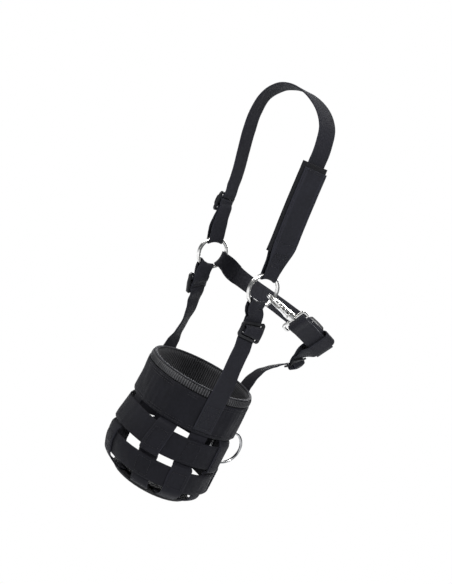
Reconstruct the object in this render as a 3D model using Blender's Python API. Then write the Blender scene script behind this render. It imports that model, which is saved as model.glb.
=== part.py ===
"""Horse grazing muzzle: a woven webbing basket on a halter-type headstall.

All dimensions below are millimetres; objects are written in metres. The basket
stands on its base with its axis along +Z. The nose side faces -Y, the horse's
near (left) side is +X, and the chin and throat side is +Y. Everything is laid
out from the basket's axis, and PART_ORIGIN then moves it so that the world
origin lies under the middle of the whole muzzle.
"""

import math

import bmesh
import bpy
from mathutils import Matrix, Vector

MM = 0.001
PART_ORIGIN = Vector((2.0, -29.5, 0.0))

# Webbing
WEB_WIDTH = 25.0
WEB_THICK = 2.0
GAP = 0.3

# Basket
BASKET_HALF_X = 75.0
BASKET_HALF_Y = 68.0
BAND_THICK = 2.2
BAND_SEGMENTS = 48
CORNER_RADIUS = 18.0
NOSE_BULGE = 0.13
BULGE_HEIGHTS = (6.0, 42.0, 59.0, 102.0)
BASE_STRAP_Z = 5.3
UPRIGHTS = [
    ("front", 350.0), ("front_near", 45.0), ("near", 79.0), ("back_near", 115.0),
    ("back", 151.0), ("back_far", 203.0), ("far", 251.0), ("front_far", 289.0),
]
UPRIGHT_TOP_Z = 146.0
UPRIGHT_END_RADIUS = 41.0
WEAVE_OUT = 2.5
BOTTOM_BAND_Z = (21.5, 50.0)
BOTTOM_LIFT = 6.0
BOTTOM_LIFT_AT = 272.0
BOTTOM_LIFT_SPREAD = 42.0
MIDDLE_BAND_Z = (59.0, 92.0)
MIDDLE_LIFT = 3.0
MIDDLE_LIFT_AT = 5.0
MIDDLE_LIFT_SPREAD = 45.0
TOP_BAND_Z = (101.8, 148.0)

# Base discs
DISC_THICK = 4.0
DISC_HALF_X = 58.0
DISC_HALF_Y = 52.0
DISC_HOLE_RADIUS = 17.0
INNER_DISC_Z = (6.6, 8.4)
INNER_DISC_HALF_X = 50.0
INNER_DISC_HALF_Y = 44.0
INNER_DISC_HOLE_RADIUS = 20.0

# Metal rings on the cheeks, and the lead ring behind the chin
RING_RADIUS = 20.0
RING_WIRE = 2.5
RING_X = 67.0
RING_Y = -24.5
RING_Z = 297.0
CHIN_RING_RADIUS = 23.0
CHIN_RING_WIRE = 2.0
CHIN_RING_X = 16.0
CHIN_RING_PIVOT_Z = 93.4
CHIN_RING_LEAN = 27.2

# Folds of webbing round a ring
FOLD_SIDE = RING_WIRE + GAP + WEB_THICK / 2
FOLD_REACH = 4.6
FOLD_NARROW = 0.8
FOLD_BLEND = 24.0

# Slide adjusters: bars and slots along the strap, measured from the middle bar
SLIDE_HALF_WIDTH = 17.0
SLIDE_SLOT_HALF_WIDTH = 12.9
SLIDE_MIDDLE_BAR = 2.0
SLIDE_OUTER_BAR = (8.4, 11.5)
SLIDE_HALF_THICK = 1.5
SLIDE_NEAR = 2.9
SLIDE_FAR = 5.2

# Breakaway tab
TAB_WIDTH = 34.0
TAB_LENGTH = 140.0
PAD_WIDTH = 38.0
PAD_THICK = 1.6
PAD_SHIFT = 2.5
PAD_START = 34.0
PAD_END = 146.0

# Snap hook, measured along its own axis from the ring wire it holds
SNAP_ANGLE = -17.0
HOOK_CENTRE = 2.7
HOOK_RADIUS = 8.0
HOOK_ROD = 2.4
BOLT_ROD = 2.0
BOLT_BORE = 2.35
BODY_FRONT = 9.0
BODY_REAR = 49.0
POCKET = (41.0, 45.5)
POCKET_RADIUS = 4.0
NECK_RADIUS = 2.2
EYE_NEAR = 54.5
EYE_FAR = 67.0
EYE_HALF_WIDTH = 16.0
EYE_WIRE = 2.0


# ---------------------------------------------------------------- scene

def clear_scene():
    for old in list(bpy.data.objects):
        bpy.data.objects.remove(old, do_unlink=True)


def material(name, colour, roughness, metallic):
    made = bpy.data.materials.new(name)
    made.use_nodes = True
    shader = made.node_tree.nodes["Principled BSDF"]
    shader.inputs["Base Color"].default_value = (*colour, 1.0)
    shader.inputs["Roughness"].default_value = roughness
    shader.inputs["Metallic"].default_value = metallic
    made.diffuse_color = (*colour, 1.0)
    return made


def add_object(name, points, faces, slot, origin=(0.0, 0.0, 0.0), smooth=False):
    """One closed mesh object from points in millimetres."""
    start = Vector(origin)
    mesh = bpy.data.meshes.new(name)
    mesh.from_pydata([(Vector(p) - start) * MM for p in points], [], faces)
    shape = bmesh.new()
    shape.from_mesh(mesh)
    bmesh.ops.recalc_face_normals(shape, faces=shape.faces)
    shape.to_mesh(mesh)
    shape.free()
    mesh.materials.append(slot)
    for polygon in mesh.polygons:
        polygon.use_smooth = smooth
    made = bpy.data.objects.new(name, mesh)
    made.location = (start + PART_ORIGIN) * MM
    bpy.context.scene.collection.objects.link(made)
    return made


def cut_or_join(target, tool, operation):
    """Applies a Boolean as a modifier and keeps its tool as a hidden helper."""
    tool.hide_render = True
    tool.display_type = "WIRE"
    step = target.modifiers.new(operation.lower(), "BOOLEAN")
    step.operation = operation
    step.solver = "EXACT"
    step.object = tool


# ---------------------------------------------------------------- small maths

def smoothstep(value):
    value = min(1.0, max(0.0, value))
    return value * value * (3.0 - 2.0 * value)


def frame_matrix(x_axis, y_axis, z_axis, place):
    columns = Matrix((x_axis, y_axis, z_axis)).transposed().to_4x4()
    columns.translation = Vector(place)
    return columns


def ring_point(side, degrees):
    """Centre of the cheek ring's wire, and its outward and tangent directions."""
    angle = math.radians(degrees)
    outward = Vector((0.0, math.cos(angle), math.sin(angle)))
    tangent = Vector((0.0, -math.sin(angle), math.cos(angle)))
    centre = Vector((side * RING_X, RING_Y, RING_Z))
    return centre + RING_RADIUS * outward, outward, tangent


class Route:
    """A smooth centre line with a width direction at every point along it."""

    def __init__(self, stations, per_span=14):
        points = [Vector(p) for p, _ in stations]
        hints = [Vector(w).normalized() for _, w in stations]
        ends = [2 * points[0] - points[1]] + points + [2 * points[-1] - points[-2]]
        self.points = []
        self.hints = []
        self.marks = []
        for i in range(len(points) - 1):
            a, b, c, d = ends[i:i + 4]
            for k in range(per_span):
                t = k / per_span
                self.points.append(self.spline(a, b, c, d, t))
                self.hints.append(hints[i].lerp(hints[i + 1], smoothstep(t)))
        self.points.append(points[-1])
        self.hints.append(hints[-1])
        self.lengths = [0.0]
        for a, b in zip(self.points, self.points[1:]):
            self.lengths.append(self.lengths[-1] + (b - a).length)
        self.marks = [self.lengths[i * per_span] for i in range(len(points))]

    @staticmethod
    def spline(a, b, c, d, t):
        """Centripetal Catmull-Rom between b and c."""
        t0 = 0.0
        t1 = t0 + max(1e-6, (b - a).length) ** 0.5
        t2 = t1 + max(1e-6, (c - b).length) ** 0.5
        t3 = t2 + max(1e-6, (d - c).length) ** 0.5
        u = t1 + t * (t2 - t1)
        ab = a * ((t1 - u) / (t1 - t0)) + b * ((u - t0) / (t1 - t0))
        bc = b * ((t2 - u) / (t2 - t1)) + c * ((u - t1) / (t2 - t1))
        cd = c * ((t3 - u) / (t3 - t2)) + d * ((u - t2) / (t3 - t2))
        abc = ab * ((t2 - u) / (t2 - t0)) + bc * ((u - t0) / (t2 - t0))
        bcd = bc * ((t3 - u) / (t3 - t1)) + cd * ((u - t1) / (t3 - t1))
        return abc * ((t2 - u) / (t2 - t1)) + bcd * ((u - t1) / (t2 - t1))

    def frame(self, along):
        """Point, tangent, width direction and face normal at this length."""
        last = len(self.points) - 1
        i = 0
        while i < last - 1 and self.lengths[i + 1] < along:
            i += 1
        share = (along - self.lengths[i]) / (self.lengths[i + 1] - self.lengths[i])
        point = self.points[i] + share * (self.points[i + 1] - self.points[i])
        inside = min(1.0, max(0.0, share))
        before = self.tangent(i)
        tangent = before.lerp(self.tangent(i + 1), inside).normalized()
        hint = self.hints[i].lerp(self.hints[i + 1], inside)
        width = (hint - tangent * hint.dot(tangent)).normalized()
        return point, tangent, width, width.cross(tangent).normalized()

    def tangent(self, i):
        low = max(0, i - 1)
        high = min(len(self.points) - 1, i + 1)
        return (self.points[high] - self.points[low]).normalized()

    def place(self, along, out, across):
        point, _, width, normal = self.frame(along)
        return point + out * normal + across * width

    def matrix(self, along):
        point, tangent, width, normal = self.frame(along)
        return frame_matrix(width, tangent, normal, point)


# ---------------------------------------------------------------- ribbons

def densify(path, step):
    """Splits long runs so that a mapped ribbon follows its curve."""
    made = [path[0]]
    for a, b in zip(path, path[1:]):
        count = max(1, math.ceil(math.hypot(b[0] - a[0], b[1] - a[1]) / step))
        for k in range(1, count + 1):
            made.append((a[0] + (b[0] - a[0]) * k / count, a[1] + (b[1] - a[1]) * k / count))
    return made


def offset_path(path, half):
    """The two faces of a strip of this half thickness along a flat path."""
    front = []
    back = []
    for i, (s, h) in enumerate(path):
        before = path[max(0, i - 1)]
        after = path[min(len(path) - 1, i + 1)]
        first = Vector((s - before[0], h - before[1]))
        second = Vector((after[0] - s, after[1] - h))
        first = (first if i else second).normalized()
        second = (second if i < len(path) - 1 else first).normalized()
        normal = (Vector((-first.y, first.x)) + Vector((-second.y, second.x))).normalized()
        reach = half / max(0.5, normal.dot(Vector((-first.y, first.x))))
        front.append((s + normal.x * reach, h + normal.y * reach))
        back.append((s - normal.x * reach, h - normal.y * reach))
    return front, back


def ribbon(name, place, path, slot, thick=WEB_THICK, lateral=4, half_width=None):
    """A flat strip along a path of (along, out), mapped into space by place."""
    width_at = half_width or (lambda along: WEB_WIDTH / 2)
    front, back = offset_path(path, thick / 2)
    points = []
    for (s_front, h_front), (s_back, h_back) in zip(front, back):
        for j in range(lateral + 1):
            share = 2 * j / lateral - 1
            points.append(place(s_front, h_front, share * width_at(s_front)))
        for j in range(lateral + 1):
            share = 2 * j / lateral - 1
            points.append(place(s_back, h_back, share * width_at(s_back)))
    row = 2 * (lateral + 1)
    faces = []
    for i in range(len(path) - 1):
        a = i * row
        b = a + row
        for j in range(lateral):
            faces.append((a + j, a + j + 1, b + j + 1, b + j))
            c = a + lateral + 1
            d = b + lateral + 1
            faces.append((c + j + 1, c + j, d + j, d + j + 1))
        faces.append((a, b, b + lateral + 1, a + lateral + 1))
        faces.append((b + lateral, a + lateral, a + row - 1, b + row - 1))
    for a in (0, (len(path) - 1) * row):
        for j in range(lateral):
            faces.append((a + j, a + j + 1, a + lateral + 2 + j, a + lateral + 1 + j))
    return add_object(name, points, faces, slot)


def fold_place(route, folds):
    """Maps a strap so that it bends and narrows where it folds round a ring.

    folds holds (length of the ring wire, +1 where the ring's centre lies further
    along the route or -1 where it lies before it).
    """
    def place(along, out, across):
        for wire, way in folds:
            near = smoothstep(1.0 - (wire - along) * way / FOLD_BLEND)
            across *= 1.0 - (1.0 - FOLD_NARROW) * near
            bend = RING_RADIUS - math.sqrt(RING_RADIUS ** 2 - min(across ** 2, 200.0))
            along += way * near * bend
        return route.place(along, out, across)
    return place


def turn_round(centre, reach, side, steps=6, start=90.0):
    """A half turn from the front face round to the back face."""
    made = []
    for k in range(steps + 1):
        angle = math.radians(start - 180.0 * k / steps)
        made.append((centre + reach * math.cos(angle), side * math.sin(angle)))
    return made


def slide_entry(at):
    """A strap's way in through a slide: under, over the middle bar, and under."""
    near = SLIDE_NEAR
    far = SLIDE_FAR
    return [
        (at - 13.0, -near), (at - 8.3, -near), (at - 6.7, -2.1), (at - 6.0, -0.5),
        (at - 6.0, 2.6), (at - 5.2, 4.4), (at - 3.5, far), (at + 3.5, far),
        (at + 5.2, 4.4), (at + 6.0, 2.6), (at + 6.0, -0.5), (at + 6.7, -2.1),
        (at + 8.3, -near), (at + 12.0, -near),
    ]


def slide_end(at):
    """The sewn end of a strap, wrapped round the middle bar of its slide."""
    near = SLIDE_NEAR
    return [
        (at + 12.0, -SLIDE_FAR - 0.1), (at + 7.0, -SLIDE_FAR - 0.1), (at + 4.4, -4.8),
        (at + 1.0, -near), (at - 1.8, -near), (at - 3.2, -2.5), (at - 3.6, -1.0),
        (at - 3.6, 1.0), (at - 3.2, 2.5), (at - 1.8, near), (at + 1.5, near),
    ]


def slide(name, place, at, slot):
    """A three-bar slide: a plate with two slots, curved with its strap."""
    low, high = SLIDE_OUTER_BAR
    middle = SLIDE_MIDDLE_BAR
    rows = [-high, -low, -middle, middle, low, high]
    round_off = 2.6
    edge = SLIDE_HALF_WIDTH
    slot_edge = SLIDE_SLOT_HALF_WIDTH
    columns = [-edge, -edge + round_off, -slot_edge, -6.0, 6.0, slot_edge, edge - round_off, edge]
    thick = SLIDE_HALF_THICK
    points = []
    index = {}
    for level in (-1, 1):
        for i, s in enumerate(rows):
            for j, v in enumerate(columns):
                corner = i in (0, 5) and j in (0, 7)
                along = s - math.copysign(round_off, s) * 0.75 if corner else s
                across = v - math.copysign(0.5, v) if corner else v
                rise = thick * (0.75 if j in (0, 7) or i in (0, 5) else 1.0)
                index[(i, j, level)] = len(points)
                points.append(place(at + along, level * rise, across))
    faces = []
    solid = set()
    for i in range(5):
        for j in range(7):
            if not (i in (1, 3) and 2 <= j <= 4):
                solid.add((i, j))
    for i, j in solid:
        corners = [(i, j), (i, j + 1), (i + 1, j + 1), (i + 1, j)]
        faces.append(tuple(index[(a, b, 1)] for a, b in corners))
        faces.append(tuple(index[(a, b, -1)] for a, b in reversed(corners)))
        sides = {
            (i - 1, j): ((i, j), (i, j + 1)), (i + 1, j): ((i + 1, j + 1), (i + 1, j)),
            (i, j - 1): ((i + 1, j), (i, j)), (i, j + 1): ((i, j + 1), (i + 1, j + 1)),
        }
        for beside, (a, b) in sides.items():
            if beside not in solid:
                faces.append((index[(*a, 1)], index[(*a, -1)], index[(*b, -1)], index[(*b, 1)]))
    return add_object(name, points, faces, slot)


# ---------------------------------------------------------------- basket

def ellipse_angle(degrees):
    """The ellipse parameter whose point lies at this azimuth from the nose side."""
    angle = math.radians(degrees)
    return math.atan2(BASKET_HALF_Y * math.sin(angle), BASKET_HALF_X * math.cos(angle))


def ellipse_point(angle):
    return Vector((BASKET_HALF_X * math.sin(angle), -BASKET_HALF_Y * math.cos(angle), 0.0))


def ellipse_normal(angle):
    return Vector((BASKET_HALF_Y * math.sin(angle), -BASKET_HALF_X * math.cos(angle), 0.0)).normalized()


def bulged(point):
    """The nose side stands out a little between the base and the noseband."""
    low, full, ease, high = BULGE_HEIGHTS
    share = smoothstep((point.z - low) / (full - low)) * smoothstep((high - point.z) / (high - ease))
    if point.y < 0:
        point.y *= 1.0 + NOSE_BULGE * share
    return point


def wall_place(angle, inward=None):
    """Maps (up from the base corner, out from the wall, across) onto the basket."""
    centre = ellipse_point(angle)
    speed = math.hypot(BASKET_HALF_X * math.cos(angle), BASKET_HALF_Y * math.sin(angle))
    inward = inward or -centre.normalized()
    quarter = math.pi * CORNER_RADIUS / 2

    def place(up, out, across):
        here = angle + across / speed
        point = ellipse_point(here)
        normal = ellipse_normal(here)
        if up >= 0:
            height = BASE_STRAP_Z + CORNER_RADIUS + up
            return bulged(point + out * normal + Vector((0, 0, height)))
        turned = min(-up, quarter) / CORNER_RADIUS
        inset = CORNER_RADIUS * (1 - math.cos(turned)) + max(0.0, -up - quarter)
        height = BASE_STRAP_Z + CORNER_RADIUS * (1 - math.sin(turned)) - out * math.sin(turned)
        point = point + inset * inward + out * math.cos(turned) * normal
        return bulged(point + Vector((0, 0, height)))
    return place


def up_of(height):
    """Distance up the wall from the base corner, following the corner's curve."""
    rise = height - BASE_STRAP_Z - CORNER_RADIUS
    if rise >= 0:
        return rise
    return -CORNER_RADIUS * math.asin(min(1.0, -rise / CORNER_RADIUS))


def ride_up(angle, height, centre, spread):
    """A smooth rise of this height, centred on one side of the basket."""
    apart = abs((math.degrees(angle) - centre + 180.0) % 360.0 - 180.0)
    return height * smoothstep(1.0 - apart / spread)


def lift_at(angle):
    """How far the bottom band rides up on the far side, at this ellipse angle."""
    return ride_up(angle, BOTTOM_LIFT, BOTTOM_LIFT_AT, BOTTOM_LIFT_SPREAD)


def middle_lift_at(angle):
    """How far the middle band rides up on the nose, at this ellipse angle."""
    return ride_up(angle, MIDDLE_LIFT, MIDDLE_LIFT_AT, MIDDLE_LIFT_SPREAD)


def hoop(name, outline, slot, smooth=False, lift=None):
    """A closed band round the basket from an outline of (up, out)."""
    points = []
    count = len(outline)
    for k in range(BAND_SEGMENTS):
        angle = 2 * math.pi * k / BAND_SEGMENTS
        place = wall_place(angle, -ellipse_normal(angle))
        raised = lift(angle) if lift else 0.0
        points += [place(up + raised, out, 0.0) for up, out in outline]
    faces = []
    for k in range(BAND_SEGMENTS):
        a = k * count
        b = (k + 1) % BAND_SEGMENTS * count
        for j in range(count):
            following = (j + 1) % count
            faces.append((a + j, a + following, b + following, b + j))
    return add_object(name, points, faces, slot, smooth=smooth)


def flat_band(name, heights, slot, lift=None):
    low, high = (up_of(z) for z in heights)
    half = BAND_THICK / 2
    middle = 0.5 * (low + high)
    outline = [(low, -half), (middle, -half), (high, -half)]
    outline += [(high, half), (middle, half), (low, half)]
    return hoop(name, outline, slot, lift=lift)


def upright_path(over_middle, angle):
    """An upright's weave: over or under the middle band, then the other way."""
    top = up_of(UPRIGHT_TOP_Z)
    middle_low, middle_high = (up_of(z) + middle_lift_at(angle) for z in MIDDLE_BAND_Z)
    bottom_low, bottom_high = (up_of(z) + lift_at(angle) for z in BOTTOM_BAND_Z)
    top_low = up_of(TOP_BAND_Z[0])
    inner = -WEAVE_OUT
    middle = WEAVE_OUT if over_middle else inner
    bottom = -middle if over_middle else WEAVE_OUT
    path = [(top, inner), (top_low - 0.4, inner)]
    if over_middle:
        path += [(top_low - 2.6, inner + 0.6), (middle_high + 3.0, middle - 0.6)]
    path += [(middle_high + 0.8, middle), (0.5 * (middle_low + middle_high), middle)]
    path += [(middle_low - 0.8, middle)]
    path += [(middle_low - 3.0, middle - math.copysign(0.6, middle))]
    path += [(bottom_high + 4.0, bottom - math.copysign(0.6, bottom))]
    path += [(bottom_high + 2.2, bottom), (0.5 * (bottom_low + bottom_high), bottom)]
    path += [(bottom_low - 2.0, bottom)]
    path += [(bottom_low - 7.0, bottom * 0.5), (bottom_low - 12.0, 0.0)]
    return path


def upright(name, degrees, over_middle, slot):
    angle = ellipse_angle(degrees)
    place = wall_place(angle)
    quarter = math.pi * CORNER_RADIUS / 2
    reach = ellipse_point(angle).length - CORNER_RADIUS - UPRIGHT_END_RADIUS
    path = upright_path(over_middle, angle)
    corner = densify([path[-1], (-quarter, 0.0)], 4.5)
    path = path[:-1] + corner + [(-quarter - reach, 0.0)]
    return ribbon(name, place, path, slot, lateral=3)


def disc(name, half_x, half_y, hole, heights, chamfer, slot, segments=40):
    """A flat elliptical plate with a round hole in the middle and a chamfered rim."""
    low, high = heights
    outline = [
        (0.0, low, False), (chamfer, low, True), (0.0, low + chamfer, True),
        (0.0, high - chamfer, True), (chamfer, high, True), (0.0, high, False),
    ]
    points = []
    for k in range(segments):
        angle = 2 * math.pi * k / segments
        for inset, height, outer in outline:
            rx = (half_x - inset) if outer else hole
            ry = (half_y - inset) if outer else hole
            points.append((rx * math.sin(angle), -ry * math.cos(angle), height))
    count = len(outline)
    faces = []
    for k in range(segments):
        a = k * count
        b = (k + 1) % segments * count
        for j in range(count):
            following = (j + 1) % count
            faces.append((a + j, a + following, b + following, b + j))
    return add_object(name, points, faces, slot)


def ribbed_lining(slot):
    """The padded sleeve inside the noseband, rolled over its top edge."""
    section = [
        (101.0, -3.7), (101.0, -6.2), (147.0, -6.4), (152.0, -6.7), (156.5, -5.4),
        (158.0, -2.8), (156.8, 0.0), (153.0, 0.9), (149.4, 0.7), (148.4, -0.6), (148.4, -3.7),
    ]
    return hoop("ribbed_lining", [(up_of(z), out) for z, out in section], slot, smooth=True)


def rim_binding(slot):
    section = [(158.4, -4.8), (159.4, -4.4), (159.4, -1.2), (158.4, -0.8)]
    return hoop("rim_binding", [(up_of(z), out) for z, out in section], slot)


def basket(webbing, lining, binding, rubber):
    disc("base_disc", DISC_HALF_X, DISC_HALF_Y, DISC_HOLE_RADIUS, (0.0, DISC_THICK), 0.8, rubber)
    disc("inner_disc", INNER_DISC_HALF_X, INNER_DISC_HALF_Y, INNER_DISC_HOLE_RADIUS,
         INNER_DISC_Z, 0.4, webbing)
    for k, (name, degrees) in enumerate(UPRIGHTS):
        upright("upright_" + name, degrees, k % 2 == 1, webbing)
    flat_band("bottom_band", BOTTOM_BAND_Z, webbing, lift_at)
    flat_band("middle_band", MIDDLE_BAND_Z, webbing, middle_lift_at)
    flat_band("noseband", TOP_BAND_Z, webbing)
    ribbed_lining(lining)
    rim_binding(binding)


# ---------------------------------------------------------------- metal rings

def torus(name, centre, axis, radius, wire, slot, around=32, section=8, origin=None):
    """A closed wire ring, its flats and points symmetric about the axis."""
    axis = Vector(axis).normalized()
    side = Vector((0.0, 0.0, 1.0)) if abs(axis.z) < 0.5 else Vector((1.0, 0.0, 0.0))
    side = (side - axis * side.dot(axis)).normalized()
    other = axis.cross(side)
    points = []
    for k in range(around):
        angle = 2 * math.pi * k / around
        outward = math.cos(angle) * side + math.sin(angle) * other
        for j in range(section):
            turn = 2 * math.pi * j / section
            reach = radius + wire * math.cos(turn)
            points.append(Vector(centre) + reach * outward + wire * math.sin(turn) * axis)
    faces = []
    for k in range(around):
        for j in range(section):
            a = k * section + j
            b = k * section + (j + 1) % section
            c = (k + 1) % around * section + (j + 1) % section
            d = (k + 1) % around * section + j
            faces.append((a, b, c, d))
    return add_object(name, points, faces, slot, origin or centre, smooth=True)


def chin_ring(nickel):
    """The lead ring, threaded round the middle band beside the back upright."""
    wall = ellipse_point(math.pi - math.asin(CHIN_RING_X / BASKET_HALF_X))
    pivot = Vector((wall.x, wall.y, CHIN_RING_PIVOT_Z))
    lean = math.radians(CHIN_RING_LEAN)
    drop = Vector((0.0, math.sin(lean), -math.cos(lean)))
    centre = pivot + (CHIN_RING_RADIUS - CHIN_RING_WIRE) * drop
    return torus("chin_ring", centre, (1, 0, 0), CHIN_RING_RADIUS, CHIN_RING_WIRE, nickel, origin=pivot)


# ---------------------------------------------------------------- headstall

def cheek_route(side):
    """From the noseband up to the cheek ring on the near (+1) or far (-1) side."""
    wire, outward, tangent = ring_point(side, -90.0 if side > 0 else -96.0)
    across = side * tangent
    if side > 0:
        middle = [
            ((75.3, -16.6, 107), (0.26, 1, 0)), ((75.3, -16.6, 126), (0.26, 1, 0)),
            ((75.4, -16.6, 150), (0.26, 1, 0)), ((75.4, -16, 172), (0.15, 1, 0)),
            ((74.8, -17, 192), (0, 1, 0)), ((73.8, -17.5, 214), (0, 1, 0)),
            ((72.4, -16.5, 232), (0, 1, 0)), ((70.8, -15.5, 250), (0, 1, 0)),
            ((68.8, -19, 266), (0, 1, 0)),
        ]
    else:
        middle = [
            ((-76, -13.5, 107), (0.21, -1, 0)), ((-76, -13.5, 126), (0.21, -1, 0)),
            ((-76.2, -13.5, 150), (0.21, -1, 0)), ((-76, -13, 166), (0.35, -0.94, 0)),
            ((-75, -12, 182), (0.6, -0.8, 0)), ((-74, -11, 199), (0.65, -0.76, 0)),
            ((-73, -12, 218), (0.5, -0.87, 0)), ((-71.8, -17, 236), (0.35, -0.94, 0)),
            ((-70, -23.5, 252), (0.3, -0.95, 0)), ((-68.2, -26.6, 266), (0.1, -1, 0)),
        ]
    end = [(wire + 4.0 * outward, across), (wire - 6.0 * outward, across)]
    return Route(middle + end), wire


def strap_to_ring(name, route, start, at, wire, webbing, extra_folds=(), lead=None):
    """One webbing strap: through its slide, round its ring and back to the slide."""
    path = list(lead) if lead else [(start, 0.0)]
    path += [(at - 24.0, 0.0)] + slide_entry(at)
    path += [(wire - 5.0, 3.5)] + turn_round(wire, FOLD_REACH, FOLD_SIDE) + [(wire - 6.0, -4.1)]
    path += slide_end(at)
    place = fold_place(route, [(wire, 1), *extra_folds])
    return ribbon(name, place, densify(path, 13.0), webbing)


def cheek_strap(name, side, slide_name, slide_from_wire, webbing, plastic):
    route, _ = cheek_route(side)
    wire = route.marks[-1] - 6.0
    at = wire - slide_from_wire
    strap_to_ring(name, route, 0.0, at, wire, webbing)
    slide(slide_name, fold_place(route, [(wire, 1)]), at, plastic)


def crown_route():
    """From the near ring's wire, over the poll, to the far ring's wire."""
    near_wire, near_out, near_tangent = ring_point(1, 95.0)
    far_wire, far_out, far_tangent = ring_point(-1, 108.0)
    across = Vector((0.0, 1.0, 0.0))
    turned = Vector((-0.38, 0.92, 0.0))
    stations = [
        (near_wire - 6.0 * near_out, -near_tangent), (near_wire + 4.0 * near_out, -near_tangent),
        ((67.6, -27, 334), across), ((67.6, -28.5, 358), across), ((67, -31, 384), across),
        ((66.4, -33, 408), across), ((65.4, -34.5, 434), across), ((63.6, -35.5, 460), across),
        ((61, -37, 481), across), ((56, -40, 500), across), ((46, -47, 514), across),
        ((31, -57, 523.5), across), ((14, -66, 527), across), ((-4, -72, 525), (-0.15, 1, 0)),
        ((-22, -75, 517), (-0.35, 0.94, 0)), ((-40, -75, 500), (-0.48, 0.88, 0)),
        ((-51, -70, 478), (-0.43, 0.9, 0)), ((-58, -62, 455), turned),
        ((-62, -54, 432), turned), ((-64.5, -46.5, 408), turned),
        ((-66, -42.5, 388), turned), ((-66.6, -43, 366), turned),
        ((-67, -40, 344), (-0.32, 0.94, 0.1)), ((-67.1, -35.5, 329), (-0.15, 0.98, 0.2)),
        (far_wire + 4.0 * far_out, -far_tangent), (far_wire - 6.0 * far_out, -far_tangent),
    ]
    return Route(stations)


def crown(webbing, hook_tape, plastic):
    route = crown_route()
    near_wire = 6.0
    far_wire = route.marks[-1] - 6.0
    at = route.marks[21] + 3.0
    lead = [(PAD_START + 2.0, -0.9), (PAD_END + 2.0, -0.9), (PAD_END + 14.0, 0.0), (at - 40.0, 0.0)]
    strap_to_ring("crown_strap", route, 0.0, at, far_wire, webbing, lead=lead)
    slide("crown_adjuster", fold_place(route, [(far_wire, 1)]), at, plastic)
    pad_path = densify([(PAD_START, 1.3), (PAD_END, 1.3)], 14.0)

    def pad_place(along, out, across):
        return route.place(along, out, across - PAD_SHIFT)
    ribbon("hook_pad", pad_place, pad_path, hook_tape, PAD_THICK, 2, lambda s: PAD_WIDTH / 2)
    breakaway_tab(route, near_wire, webbing)


def breakaway_tab(route, wire, webbing):
    """The near ring's own tab: folded round the ring, then widening upwards."""
    side = FOLD_SIDE
    turn = [(2 * wire - s, h) for s, h in turn_round(wire, FOLD_REACH, side)]
    path = [(wire + 24.0, -3.4), (wire + 8.0, -side)] + list(reversed(turn))
    path += [(wire + 8.0, side), (wire + 20.0, 3.6), (TAB_LENGTH, 3.6)]

    def half_width(along):
        share = smoothstep((along - wire - 14.0) / 26.0)
        return (WEB_WIDTH + (TAB_WIDTH - WEB_WIDTH) * share) / 2
    place = fold_place(route, [(wire, -1)])
    return ribbon("breakaway_tab", place, densify(path, 12.0), webbing, half_width=half_width)


def snap_axes():
    """The snap's place on the near ring: width, length and thickness directions."""
    wire, _, tangent = ring_point(1, SNAP_ANGLE)
    along = Vector((-0.202, 0.941, -0.272))
    along = (along - tangent * along.dot(tangent)).normalized()
    return wire, along.cross(tangent), along, tangent


def eye_turn():
    """The eye is turned about the snap's axis, to lie with the throat webbing."""
    return math.radians(17.0)


def throat_route():
    """From the far ring, behind the throat, round its bend, and to the snap's eye."""
    far_wire, far_out, far_tangent = ring_point(-1, -13.0)
    wire, side, along, up = snap_axes()
    bar = wire + EYE_FAR * along
    eye_width = math.cos(eye_turn()) * up + math.sin(eye_turn()) * side
    stations = [
        (far_wire - 6.0 * far_out, far_tangent), (far_wire + 9.0 * far_out, far_tangent),
        ((-59.5, 14, 284.5), (-0.2, 0.4, 0.9)), ((-52, 27, 281), (-0.35, 0.5, 0.8)),
        ((-41, 46, 277), (-0.4, 0.5, 0.76)), ((-27, 68, 273), (-0.38, 0.52, 0.76)),
        ((-12, 88, 268.5), (-0.3, 0.53, 0.8)), ((1, 106, 264), (-0.2, 0.52, 0.83)),
        ((11, 122, 258), (-0.1, 0.52, 0.85)), ((19, 135.5, 250), (0.05, 0.5, 0.86)),
        ((26.5, 140.5, 245.5), (0.2, 0.45, 0.86)), ((33.5, 134, 247), (0.25, 0.42, 0.86)),
        ((39, 116, 253.5), (0.27, 0.4, 0.87)), ((44, 95, 260), (0.28, 0.36, 0.88)),
        ((49, 75, 266.5), eye_width), (bar + 3.0 * along, eye_width), (bar - 4.0 * along, eye_width),
    ]
    return Route(stations)


def throat(webbing, plastic):
    route = throat_route()
    start = 6.0
    bar = route.marks[-1] - 4.0
    at = route.marks[8] - 5.0
    side = FOLD_SIDE + 0.3
    turn = [(2 * start - s, h) for s, h in turn_round(start, FOLD_REACH, side)]
    path = [(start + 26.0, -2.4), (start + 19.0, -2.6), (start + 9.5, -side)] + list(reversed(turn))
    path += [(start + 9.5, side), (start + 19.0, 1.2), (start + 29.0, 0.0), (at - 24.0, 0.0)]
    path += slide_entry(at)
    path += [(at + 22.0, 1.2), (bar - 14.0, 1.2), (bar - 5.0, 3.0)]
    path += turn_round(bar, EYE_WIRE + GAP + WEB_THICK / 2, EYE_WIRE + GAP + WEB_THICK / 2)
    path += [(bar - 5.0, -3.0), (bar - 14.0, -1.2), (at + 22.0, -1.3)]
    path += slide_end(at)
    place = fold_place(route, [(start, -1)])
    ribbon("throat_strap", place, densify(path, 7.5), webbing)
    slide("throat_adjuster", route.place, at, plastic)


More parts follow.
